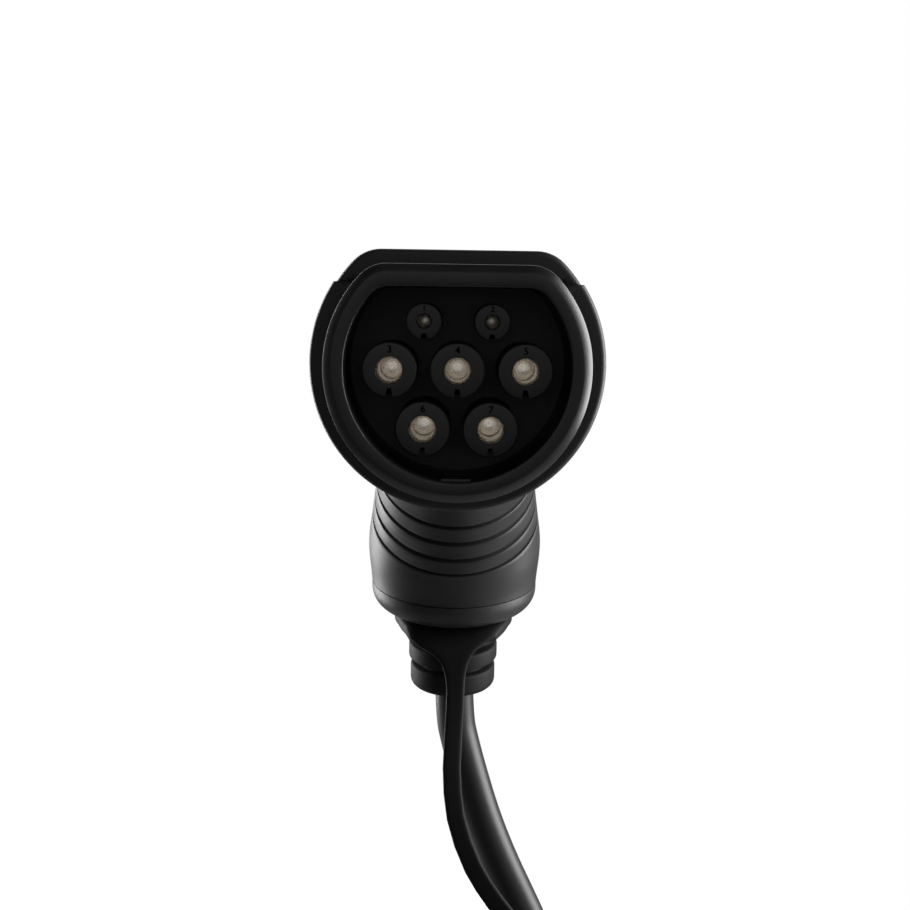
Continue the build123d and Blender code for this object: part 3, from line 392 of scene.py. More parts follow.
class Form:
    """A mesh under construction, in millimetres."""

    def __init__(self) -> None:
        """Start with an empty mesh."""
        self.mesh = bmesh.new()

    def ring(self, place: Matrix, outline: Outline, segments: int) -> list[Edge]:
        """A closed ring of edges.

        Args:
            place: Where the ring's plane lies; the ring is drawn on its X and Y.
            outline: Moves each point of the unit circle, given its cosine and sine.
            segments: Number of edges.

        Returns:
            The ring's edges.
        """
        made = bmesh.ops.create_circle(self.mesh, segments=segments, radius=1.0)["verts"]
        for vert in made:
            vert.co.x, vert.co.y = outline(vert.co.x, vert.co.y)
        bmesh.ops.transform(self.mesh, matrix=place, verts=made)
        return list({edge for vert in made for edge in vert.link_edges})

    def arc(self, start: float, sweep: float, steps: int, shape: Callable[[Vector], Vector]) -> list[Edge]:
        """An open arc of the unit circle, moved point by point.

        Args:
            start: First angle, in radians.
            sweep: Angle covered, in radians.
            steps: Number of edges.
            shape: Gives the final place of a point of the arc.

        Returns:
            The arc's edges.
        """
        vert = self.mesh.verts.new((cos(start), sin(start), 0.0))
        spun = bmesh.ops.spin(self.mesh, geom=[vert], cent=(0, 0, 0), axis=(0, 0, 1), angle=sweep,
                              steps=steps)
        verts, last = [vert], spun["geom_last"][0]
        edges = []
        while verts[-1] is not last:
            edge = next(e for e in verts[-1].link_edges if e not in edges)
            edges.append(edge)
            verts.append(edge.other_vert(verts[-1]))
        for point in verts:
            point.co = shape(point.co.copy())
        return edges

    def join(self, *rings: list[Edge]) -> None:
        """Bridge each ring to the next."""
        for first, second in zip(rings, rings[1:]):
            bmesh.ops.bridge_loops(self.mesh, edges=first + second)

    def lid(self, ring: list[Edge]) -> None:
        """Close a ring with one face."""
        bmesh.ops.contextual_create(self.mesh, geom=ring)

    def turn(self, profile: Profile, place: Matrix, segments: int) -> None:
        """Spin a profile of radius and height round the Z axis of a place.

        Args:
            profile: Pairs of radius and height, in order.
            place: Matrix of the axis.
            segments: Steps of the full turn.
        """
        verts = [self.mesh.verts.new((r, 0.0, h)) for r, h in profile]
        edges = [self.mesh.edges.new(pair) for pair in zip(verts, verts[1:])]
        spun = bmesh.ops.spin(self.mesh, geom=verts + edges, cent=(0, 0, 0), axis=(0, 0, 1), angle=2 * pi,
                              steps=segments, use_merge=True)
        turned = {v for face in {f for v in verts for f in v.link_faces} for v in face.verts}
        turned |= {g for g in spun["geom_last"] if isinstance(g, bmesh.types.BMVert)}
        frontier = set(turned)
        while frontier:
            frontier = {o for v in frontier for e in v.link_edges for o in e.verts} - turned
            turned |= frontier
        bmesh.ops.transform(self.mesh, matrix=place, verts=list(turned))

    def block(self, size: Point, place: Matrix, edge: float) -> None:
        """A box with rounded edges.

        Args:
            size: Full sizes along X, Y and Z.
            place: Matrix of its middle.
            edge: Radius of its edges.
        """
        made = bmesh.ops.create_cube(self.mesh, size=1.0)["verts"]
        bmesh.ops.transform(self.mesh, matrix=Matrix.Diagonal((*size, 1.0)), verts=made)
        bmesh.ops.transform(self.mesh, matrix=place, verts=made)
        edges = list({e for v in made for e in v.link_edges})
        bmesh.ops.bevel(self.mesh, geom=edges, offset=edge, segments=BEVEL_STEPS, affect="EDGES",
                        profile=0.5, material=-1)

    def object(self, name: str, finish: Look, sharp: float) -> bpy.types.Object:
        """Close the mesh and make it an object in metres.

        Args:
            name: The object's name.
            finish: Its finish.
            sharp: Angle in degrees above which an edge stays sharp.

        Returns:
            The new object.
        """
        bmesh.ops.remove_doubles(self.mesh, verts=self.mesh.verts, dist=WELD)
        bmesh.ops.recalc_face_normals(self.mesh, faces=self.mesh.faces)
        bmesh.ops.scale(self.mesh, vec=(MM, MM, MM), verts=self.mesh.verts)
        data = bpy.data.meshes.new(name)
        self.mesh.to_mesh(data)
        self.mesh.free()
        data.shade_smooth()
        data.set_sharp_from_angle(angle=radians(sharp))
        data.materials.append(finish.value.material())
        return in_scene(name, data)


def in_scene(name: str, data: bpy.types.ID) -> bpy.types.Object:
    """A new object of the scene for some data."""
    made = bpy.data.objects.new(name, data)
    bpy.context.scene.collection.objects.link(made)
    return made


def soften(piece: bpy.types.Object, width_mm: float, angle: float) -> None:
    """Round the edges of a piece that are sharper than an angle in degrees."""
    bevel = piece.modifiers.new("edges", "BEVEL")
    bevel.width = width_mm * MM
    bevel.segments = BEVEL_STEPS
    bevel.limit_method = "ANGLE"
    bevel.angle_limit = radians(angle)
    bevel.harden_normals = True


def thicken(piece: bpy.types.Object, wall_mm: float) -> bpy.types.SolidifyModifier:
    """Give a skin a wall on its inner side."""
    wall = piece.modifiers.new("wall", "SOLIDIFY")
    wall.thickness = wall_mm * MM
    wall.offset = -1.0
    return wall


def settle(piece: bpy.types.Object, finish: Look, *nodes: str) -> bpy.types.Object:
    """Let a piece ride on the body and stand for its nodes.

    Args:
        piece: The finished object.
        finish: The piece's finish; not used.
        nodes: CAD nodes that it stands for.

    Returns:
        The same object.
    """
    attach(piece, "root")
    if nodes:
        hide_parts(*nodes)
    LOG.info("%s stands for %s", piece.name, ", ".join(nodes) or "itself")
    return piece


def smoothed(node: bpy.types.Object, finish: Look, edge_mm: float) -> bpy.types.Object:
    """A smooth copy of a CAD node that stands for it.

    Args:
        node: The node's object.
        finish: The copy's finish.
        edge_mm: Width of a rounding along sharp edges.

    Returns:
        The copy.
    """
    form = Form()
    form.mesh.from_mesh(node.data)
    bmesh.ops.scale(form.mesh, vec=(1 / MM, 1 / MM, 1 / MM), verts=form.mesh.verts)
    bmesh.ops.remove_doubles(form.mesh, verts=form.mesh.verts, dist=CAD_WELD)
    bmesh.ops.dissolve_limit(form.mesh, angle_limit=radians(CAD_FLAT_ANGLE), verts=form.mesh.verts,
                             edges=form.mesh.edges)
    piece = form.object(f"{node.name}_skin", finish, sharp=30)
    soften(piece, edge_mm, angle=40)
    return settle(piece, finish, node.name)


def facing_front(x: float, y: float, z: float) -> Matrix:
    """A place whose X and Y are the row's X and Z, and whose Z points into the connector."""
    return Matrix(((1, 0, 0, x), (0, 0, 1, y), (0, 1, 0, z), (0, 0, 0, 1)))


def across_head(form: Form, y: float, outline: Outline, segments: int = HEAD_STEPS) -> list[Edge]:
    """A ring of the head's outline, so far behind the contacts' mouths."""
    return form.ring(facing_front(0, y, HEAD_RISE), outline, segments)


def quarter_round(radius: float) -> list[tuple[float, float]]:
    """Insets from the side and from the face round a rounded edge, from the face to the side."""
    angles = [0.5 * pi * step / QUARTER_STEPS for step in range(QUARTER_STEPS + 1)]
    return [(radius * (1 - sin(angle)), radius * (1 - cos(angle))) for angle in angles]


# the charger's pieces


@dataclass
class FlatTopped:
    """A disc with a flat top and rounded corners, drawn in by an inset."""

    radius: float
    flat: float
    corner: float

    def inset(self, by: float, flat_by: float | None = None) -> Outline:
        """The outline, drawn in.

        Args:
            by: Inset of the round part.
            flat_by: Inset of the flat, the same if left out.

        Returns:
            A function from a direction to the outline's point.
        """
        radius = self.radius - by
        flat = self.flat - (by if flat_by is None else flat_by)
        corner = max(0.3, self.corner - by)
        across = sqrt((radius - corner) ** 2 - (flat - corner) ** 2)
        first, last = atan2(flat - corner, across), atan2(flat, across)

        def point(cosine: float, sine: float) -> tuple[float, float]:
            """Where the ray of a direction meets the outline."""
            angle = atan2(sine, abs(cosine))
            reach = radius
            if angle >= last:
                reach = flat / sine
            elif angle > first:
                along = across * abs(cosine) + (flat - corner) * sine
                reach = along + sqrt(max(0.0, along ** 2 - across ** 2 - (flat - corner) ** 2 + corner ** 2))
            return cosine * reach, sine * reach

        return point


@dataclass
class Nozzle:
    """Collar with its chamfered edge, its mouth and its key."""

    rim: float = -7.5
    back: float = 30.0
    outside: FlatTopped = field(default_factory=lambda: FlatTopped(33.3, 25.6, 9.0))
    cavity: FlatTopped = field(default_factory=lambda: FlatTopped(28.1, 20.0, 6.0))
    chamfer: float = 2.1
    chamfer_depth: float = 1.5
    mouth_round: float = 0.6
    key_size: Point = (7.4, 14.0, 1.0)
    key_round: float = 0.2
    key_sink: float = 0.25
    key_front: float = -5.5
    rail_size: tuple[float, float] = (1.0, 0.8)
    rail_round: float = 0.18
    rail_gap: float = 0.95
    rail_rise: float = 0.1

    def collar(self) -> None:
        """The tube, from its outer back round the rim to the cavity's end."""
        form = Form()
        edge = self.rim + self.chamfer_depth
        # inset and depth of each ring, with both edges of the chamfer slightly rounded
        outer = [(0.0, self.back), (0.0, edge + 0.5), (0.06, edge + 0.22), (0.26, edge),
                 (self.chamfer - 0.15, self.rim + 0.14), (self.chamfer + 0.15, self.rim + 0.03),
                 (self.chamfer + 0.4, self.rim)]
        rings = [across_head(form, y, self.outside.inset(inset)) for inset, y in outer]
        rings += [across_head(form, self.rim + behind, self.cavity.inset(-grow))
                  for grow, behind in quarter_round(self.mouth_round)]
        rings.append(across_head(form, BASE_FRONT, self.cavity.inset(0.0)))
        form.join(*rings)
        self.key(form)
        piece = form.object("collar_moulding", Look.COLLAR, sharp=30)
        settle(piece, Look.COLLAR, "collar")

    def key(self, form: Form) -> None:
        """The key at the bottom of the mouth, between two low rails."""
        width, length, height = self.key_size
        rail_width, rail_height = self.rail_size
        bottom = HEAD_RISE - self.cavity.radius
        middle = self.key_front + length / 2
        place = Matrix.Translation((0, middle, bottom + height / 2 - self.key_sink))
        form.block(self.key_size, place, self.key_round)
        for side in (-1, 1):
            out = side * (width / 2 + self.rail_gap + rail_width / 2)
            place = Matrix.Translation((out, middle, bottom + self.rail_rise))
            form.block((rail_width, length, rail_height), place, self.rail_round)


@dataclass(frozen=True)
class Socket:
    """One size of contact and of its tower, by radii and by the depth of its bore."""

    # name, number on the tower, and place in the row
    places: Sequence[tuple[str, str, float, float]]
    finish: Look
    tower: float
    mouth: float
    room: float
    bore: float
    bore_depth: float
    sleeve: float
    barrel: float
    mark_rise: float
    mark_size: float


POWER = Socket((("neutral", "3", -17.0, 0.0), ("earth", "4", 0.0, 0.0), ("line_1", "5", 17.0, 0.0),
                ("line_2", "7", 8.5, -14.7), ("line_3", "6", -8.5, -14.7)), Look.SILVER, tower=6.9,
               mouth=3.45, room=4.6, bore=3.05, bore_depth=20.0, sleeve=4.5, barrel=3.3, mark_rise=5.05,
               mark_size=2.5)
SIGNAL = Socket((("control_pilot", "1", -8.5, 12.2), ("proximity", "2", 8.5, 12.2)), Look.PILOT_SHADED_SILVER,
                tower=4.5, mouth=1.9, room=2.6, bore=1.55, bore_depth=14.0, sleeve=2.5, barrel=2.2,
                mark_rise=3.15, mark_size=1.9)


@dataclass
class Carrier:
    """Contact carrier with seven towers, their marks, and the contacts in them."""

    sockets: Sequence[Socket] = (POWER, SIGNAL)
    face: float = -1.5
    base_back: float = 29.0
    base: FlatTopped = field(default_factory=lambda: FlatTopped(29.2, 21.1, 6.0))
    base_steps: int = 160
    room_front: float = 0.6
    notch_size: tuple[float, float] = (2.3, 18.0)
    notch_wall: float = 1.1
    notch_over: float = 1.0
    notch_taper: float = 0.45
    mark_height: float = 0.03
    mark_stroke: float = 0.05
    mark_sink: float = 0.01
    flare: float = 0.35
    stop_front: float = 26.0
    stop_back: float = 29.0
    stop_height: float = 1.2
    barrel_back: float = 43.0
    barrel_wall: float = 1.1
    barrel_bottom: float = 35.0
    drill_point: float = 0.58

    def tower(self, form: Form, kind: Socket, x: float, z: float) -> None:
        """One tower with a slightly rounded face edge and a stepped hole."""
        outer, mouth = kind.tower, kind.mouth
        profile = [(outer, BASE_FRONT + 0.5), (outer, self.face + 0.45), (outer - 0.08, self.face + 0.2),
                   (outer - 0.22, self.face + 0.06), (outer - 0.42, self.face), (mouth + 0.12, self.face),
                   (mouth, self.face + 0.12), (mouth, self.room_front), (kind.room, self.room_front),
                   (kind.room, self.base_back)]
        form.turn(profile, facing_front(x, 0, z), segments=72)

    def notch(self, form: Form, kind: Socket, x: float, z: float) -> None:
        """Open groove down the underside of a tower, narrower towards the hole."""
        width, length = self.notch_size
        depth = kind.tower - kind.mouth - self.notch_wall
        middle = self.face - self.notch_over + length / 2
        place = Matrix.Translation((x, middle, z - kind.tower + depth / 2 - self.notch_over / 2))
        made = bmesh.ops.create_cube(form.mesh, size=1.0)["verts"]
        for vert in made:
            if vert.co.z > 0:
                vert.co.x *= self.notch_taper
        size = Matrix.Diagonal((width, length, depth + self.notch_over, 1.0))
        bmesh.ops.transform(form.mesh, matrix=place @ size, verts=made)

    def mark(self, kind: Socket, name: str, number: str, x: float, z: float) -> None:
        """A plain number on a tower's face, near-black with no shine as painted shade of an engraved number.
        """
        curve = bpy.data.curves.new(name, "FONT")
        curve.body = number
        curve.size = kind.mark_size * MM
        curve.extrude = self.mark_height * MM
        curve.offset = self.mark_stroke * MM
        curve.align_x, curve.align_y = "CENTER", "CENTER"
        flat = bpy.data.objects.new(name, curve)
        mesh = bpy.data.meshes.new_from_object(flat)
        bpy.data.objects.remove(flat)
        place = Vector((x, self.face - self.mark_sink, z + kind.mark_rise)) * MM
        mesh.transform(Matrix.Translation(place) @ Matrix.Rotation(pi / 2, 4, "X"))
        mesh.materials.append(Look.MARK.value.material())
        settle(in_scene(name, mesh), Look.MARK)

    def moulding(self) -> None:
        """The carrier's base with its notched towers."""
        form, notches = Form(), Form()
        outline = self.base.inset(0.0)
        rings = [across_head(form, y, outline, self.base_steps) for y in (BASE_FRONT, self.base_back)]
        form.join(*rings)
        form.lid(rings[0])
        for kind in self.sockets:
            for _, _, x, z in kind.places:
                self.tower(form, kind, x, z)
                self.notch(notches, kind, x, z)
        piece = form.object("carrier_moulding", Look.CARRIER, sharp=30)
        cutter = notches.object("notch_tool", Look.CARRIER, sharp=32)
        cut = piece.modifiers.new("notches", "BOOLEAN")
        cut.object, cut.operation, cut.solver = cutter, "DIFFERENCE", "EXACT"
        apply_modifiers(piece)
        bpy.data.objects.remove(cutter)
        settle(piece, Look.CARRIER, "contact_carrier")

    def contact(self, kind: Socket, name: str, x: float, z: float) -> None:
        """A turned socket with a flared mouth, a drill-point bottom, a stop and a barrel for its core."""
        bore, sleeve, stop = kind.bore, kind.sleeve, kind.sleeve + self.stop_height
        inside = kind.barrel - self.barrel_wall
        profile = [(0.0, kind.bore_depth + bore * self.drill_point), (bore, kind.bore_depth), (bore, 1.0),
                   (bore + self.flare, 0.15), (bore + self.flare + 0.08, 0.0), (sleeve - 0.15, 0.0),
                   (sleeve, 0.15), (sleeve, self.stop_front), (stop, self.stop_front), (stop, self.stop_back),
                   (kind.barrel, self.stop_back), (kind.barrel, self.barrel_back), (inside, self.barrel_back),
                   (inside, self.barrel_bottom), (0.0, self.barrel_bottom)]
        form = Form()
        form.turn(profile, facing_front(x, 0, z), segments=96)
        piece = form.object(f"socket_{name}", kind.finish, sharp=25)
        settle(piece, kind.finish, f"contact_{name}")

    def build(self) -> None:
        """Make the carrier, the contacts and the marks."""
        self.moulding()
        for kind in self.sockets:
            for name, number, x, z in kind.places:
                self.contact(kind, name, x, z)
                self.mark(kind, f"mark_{name}", number, x, z)


def apply_modifiers(piece: bpy.types.Object) -> None:
    """Replace a piece's mesh by its evaluated mesh."""
    graph = bpy.context.evaluated_depsgraph_get()
    mesh = bpy.data.meshes.new_from_object(piece.evaluated_get(graph))
    piece.modifiers.clear()
    piece.data = mesh


def smooth_step(share: float) -> float:
    """A smooth step from 0 to 1."""
    share = min(1.0, max(0.0, share))
    return share * share * (3 - 2 * share)


def smooth_through(table: Sequence[tuple[float, ...]], at: float, column: int) -> float:
    """A smooth curve through a table's values.

    Args:
        table: Rows that start with their place, in order.
        at: Place asked for.
        column: Column of the value.

    Returns:
        The value there.
    """
    if at <= table[0][0]:
        return table[0][column]
    if at >= table[-1][0]:
        return table[-1][column]
    slopes = []
    steps = [(b[column] - a[column]) / (b[0] - a[0]) for a, b in zip(table, table[1:])]
    for i in range(len(table)):
        before, after = steps[max(i - 1, 0)], steps[min(i, len(steps) - 1)]
        slopes.append((before + after) / 2)
    for i, (a, b) in enumerate(zip(table, table[1:])):
        if at <= b[0]:
            length = b[0] - a[0]
            t = (at - a[0]) / length
            return ((2 * t ** 3 - 3 * t ** 2 + 1) * a[column] + (t ** 3 - 2 * t ** 2 + t) * length * slopes[i]
                    + (3 * t ** 2 - 2 * t ** 3) * b[column] + (t ** 3 - t ** 2) * length * slopes[i + 1])
    return table[-1][column]


@dataclass
class Spine:
    """The housing's curved centre line."""

    start: float = 15.9
    height: float = -0.6
    head_bend: float = 91.5
    grip_lean: float = 48.5
    run: float = 22.0
    tail_bend: float = 50.0
    tail_lean: float = 79.0

    def seam(self) -> float:
        """Length of the line up to the tail cap."""
        return (self.head_bend * radians(self.grip_lean) + self.run
                + self.tail_bend * radians(self.tail_lean - self.grip_lean))

    def point(self, s: float) -> tuple[float, float, float]:
        """The line's y, z and lean in radians at a distance along it."""
        grip, tail = radians(self.grip_lean), radians(self.tail_lean)
        head = self.head_bend * grip
        if s <= head:
            lean = s / self.head_bend
            drop = self.head_bend * (1 - cos(lean))
            return self.start + self.head_bend * sin(lean), self.height - drop, lean
        run = min(s - head, self.run)
        y = self.start + self.head_bend * sin(grip) + run * cos(grip)
        z = self.height - self.head_bend * (1 - cos(grip)) - run * sin(grip)
        rest = s - head - run
        lean = min(grip + rest / self.tail_bend, tail)
        y += self.tail_bend * (sin(lean) - sin(grip))
        z -= self.tail_bend * (cos(grip) - cos(lean))
        past = rest - self.tail_bend * (lean - grip)
        return y + past * cos(lean), z - past * sin(lean), lean

    def frame(self, s: float) -> Matrix:
        """A place across the line: X across, Y towards the back of the grip, Z along the line."""
        y, z, lean = self.point(s)
        across, along = sin(lean), cos(lean)
        return Matrix(((1, 0, 0, 0), (0, across, along, y), (0, along, -across, z), (0, 0, 0, 1)))

    def tail(self) -> Matrix:
        """The place of the tail axis at the seam, straight on."""
        return self.frame(self.seam())


@dataclass
class Housing:
    """Lower and upper shell with the grooved grip and the front flange."""

    spine: Spine
    # distance along the centre line, half width and half depth
    stations: Sequence[tuple[float, float, float]] = (
        (12.8, 35.0, 32.5), (31.9, 30.5, 30.0), (54.3, 25.8, 27.8), (77.5, 24.0, 26.5), (89.0, 24.6, 26.0),
        (100.5, 25.9, 26.0), (112.0, 27.2, 26.6), (126.07, 26.3, 26.3))
    # distance along the centre line, and how far behind it the shells part
    parting: Sequence[tuple[float, float]] = (
        (12.8, 23.2), (18.9, 22.6), (33.0, 16.5), (55.0, 10.0), (77.5, 7.0), (126.07, 7.0))
    section_gap: float = 1.9
    lower_steps: int = 112
    upper_steps: int = 64
    wall: float = 2.0
    seam_inset: float = 0.16
    edge_round: float = 0.22
    grooves: Sequence[float] = (77.5, 85.5, 93.5, 101.0)
    groove_width: float = 1.5
    groove_depth: float = 1.6
    groove_slope: float = 0.35
    groove_end: float = 1.2
    groove_clear: float = 1.6
    beside_groove: Sequence[float] = (0.2, 0.45, 0.7, 0.95, 1.4)
    flange: FlatTopped = field(default_factory=lambda: FlatTopped(39.3, 30.2, 11.0))
    passage: FlatTopped = field(default_factory=lambda: FlatTopped(33.5, 25.8, 9.0))
    flange_front: float = 22.5
    flange_back: float = 34.5
    flange_round: float = 1.5
    flange_wall: float = 1.5
    flange_lip: float = 9.0
    passage_length: float = 4.0
    upper_step: float = 0.7
    parting_at_flange: float = 22.0

    def section(self, form: Form, s: float, lower: bool, inset: float = 0.0) -> list[Edge]:
        """Half section of one shell across the centre line.

        Args:
            form: The mesh it is added to.
            s: Distance along the centre line.
            lower: Whether it belongs to the lower shell.
            inset: How far it is drawn in.

        Returns:
            The section's edges.
        """
        half_x = smooth_through(self.stations, s, 1) - inset
        half_y = smooth_through(self.stations, s, 2) - inset
        edge = asin(min(0.98, smooth_through(self.parting, s, 1) / half_y))
        frame = self.spine.frame(s)

        def shape(point: Vector) -> Vector:
            """Stretch to the oval, press the grooves in and place."""
            depth = self.pressed(s, point.y * half_y) if lower else 0.0
            reach = hypot(point.x * half_x, point.y * half_y)
            share = 1.0 - depth / reach
            return frame @ Vector((point.x * half_x * share, point.y * half_y * share, 0.0))

        if lower:
            return form.arc(pi - edge, pi + 2 * edge, self.lower_steps, shape)
        return form.arc(edge, pi - 2 * edge, self.upper_steps, shape)

    def pressed(self, s: float, height: float) -> float:
        """Depth of the grip's grooves at a place, fading out at their ends."""
        reach = self.groove_width / 2 + self.groove_slope
        deepest = 0.0
        for place in self.grooves:
            side = smooth_step((reach - abs(s - place)) / (2 * self.groove_slope))
            end = min(1.0, max(0.0, -height / self.groove_end))
            deepest = max(deepest, self.groove_depth * side * sqrt(end))
        return deepest

    def places(self) -> list[float]:
        """Distances of the sections, closer together at the grooves."""
        start, end = self.stations[0][0], self.spine.seam()
        count = int((end - start) / self.section_gap) + 1
        found = [s for s in (start + self.section_gap * i for i in range(count)) if s < end - 0.5]
        for place in self.grooves:
            found = [s for s in found if abs(s - place) > self.groove_clear]
            found += [place + side * off for side in (-1, 1) for off in self.beside_groove]
        return sorted(found + [end - 0.35, end - 0.1])

    def shell(self, lower: bool) -> None:
        """One shell with its wall."""
        form = Form()
        places = self.places()
        rings = [self.section(form, s, lower, self.seam_inset if s == places[-1] else 0.0) for s in places]
        form.join(*rings)
        name = "lower_shell" if lower else "upper_shell"
        piece = form.object(f"{name}_skin", Look.HOUSING, sharp=35)
        thicken(piece, self.wall).use_even_offset = True
        soften(piece, self.edge_round, angle=50)
        settle(piece, Look.HOUSING, name)

    def flange_part(self, lower: bool) -> None:
        """Lower or upper part of the front flange."""
        form = Form()
        step = 0.0 if lower else self.upper_step
        front, back = self.flange_front, self.flange_back
        rings = [across_head(form, y, self.passage.inset(0.0)) for y in (front + self.passage_length, front)]
        for start, way in ((front, 1), (back, -1)):
            for inset, along in quarter_round(self.flange_round)[::way]:
                outline = self.flange.inset(inset + step, inset + step / 3)
                rings.append(across_head(form, start + way * along, outline))
        rings.append(across_head(form, back, self.flange.inset(self.flange_lip)))
        form.join(*rings)
        plane = {"plane_co": (0, 0, self.parting_at_flange), "plane_no": (0, 0, 1)}
        side = {"clear_outer": True} if lower else {"clear_inner": True}
        everything = form.mesh.verts[:] + form.mesh.edges[:] + form.mesh.faces[:]
        bmesh.ops.bisect_plane(form.mesh, geom=everything, dist=0.0001, **plane, **side)
        piece = form.object("lower_flange" if lower else "upper_flange", Look.HOUSING, sharp=35)
        thicken(piece, self.flange_wall)
        settle(piece, Look.HOUSING)

    def build(self) -> None:
        """Make both shells with their parts of the flange."""
        for make in (self.shell, self.flange_part):
            for lower in (True, False):
                make(lower)


@dataclass
class Tail:
    """Tail cap and ribbed strain relief, turned round the tail axis."""

    spine: Spine
    radius: float = 26.3
    length: float = 11.5
    spigot: float = 22.4
    spigot_length: float = 6.0
    band: float = 2.0
    belly: float = 8.8
    belly_power: float = 0.9
    belly_steps: int = 18
    mouth: float = 18.9
    seat: float = 18.3
    throat: float = 12.3
    throat_length: float = 2.3
    foot: float = 19.5
    foot_front: float = 7.2
    foot_back: float = 9.0
    shank: float = 12.0
    ring_end: float = 14.1
    ribs: int = 3
    pitch: float = 7.4
    rib_radius: float = 14.9
    taper: float = 0.6
    rib_front_round: float = 0.9
    rib_back_round: float = 1.0
    last_round: float = 2.2
    groove: float = 2.0
    groove_radius: float = 10.8
    bore: float = 6.32

    def cap(self) -> None:
        """The cap with its bellied shoulder."""
        profile = [(self.spigot, self.spigot_length), (self.spigot, 0.12), (self.radius - 0.25, 0.12),
                   (self.radius - 0.05, 0.3), (self.radius, 0.6), (self.radius, self.band)]
        for step in range(1, self.belly_steps + 1):
            angle = 0.5 * pi * step / self.belly_steps
            out = self.mouth + (self.radius - self.mouth) * cos(angle) ** self.belly_power
            profile.append((out, self.band + (self.belly - self.band) * sin(angle)))
        profile += [(self.seat, self.belly + 0.1), (self.seat, self.length), (self.throat, self.length),
                    (self.throat, self.length - self.throat_length)]
        form = Form()
        form.turn(profile, self.spine.tail(), segments=144)
        piece = form.object("tail_cap_moulding", Look.HOUSING, sharp=30)
        settle(piece, Look.HOUSING, "tail_cap")

    def relief(self) -> bpy.types.Object:
        """The ribbed boot with rounded ribs.

        Returns:
            The piece.
        """
        profile = [(self.bore, self.foot_front), (self.foot, self.foot_front), (self.foot, self.foot_back),
                   (self.shank, self.foot_back), (self.shank, self.ring_end)]
        for rib in range(self.ribs):
            start = self.ring_end + rib * self.pitch
            last = rib == self.ribs - 1
            profile += self.rib(self.rib_radius - rib * self.taper, start, last)
            if not last:
                end, following = start + self.pitch - self.groove, start + self.pitch
                profile += [(self.groove_radius + 0.25, end), (self.groove_radius, end + 0.3),
                            (self.groove_radius, following - 0.3), (self.groove_radius + 0.25, following)]
        end = self.ring_end + self.ribs * self.pitch
        profile += [(self.bore + 0.9, end), (self.bore + 0.35, end - 0.35), (self.bore, end - 1.2)]
        form = Form()
        form.turn(profile, self.spine.tail(), segments=120)
        piece = form.object("strain_relief_boot", Look.RUBBER, sharp=40)
        return settle(piece, Look.RUBBER, "strain_relief")

    def rib(self, radius: float, start: float, last: bool) -> list[tuple[float, float]]:
        """Outline of one rib from its start to its end; the last one fills its whole pitch."""
        end = start + (self.pitch if last else self.pitch - self.groove)
        back_round = self.last_round if last else self.rib_back_round
        front = [(radius - inset, start + along) for inset, along in quarter_round(self.rib_front_round)]
        back = [(radius - inset, end - along) for inset, along in quarter_round(back_round)]
        return front + back[::-1]


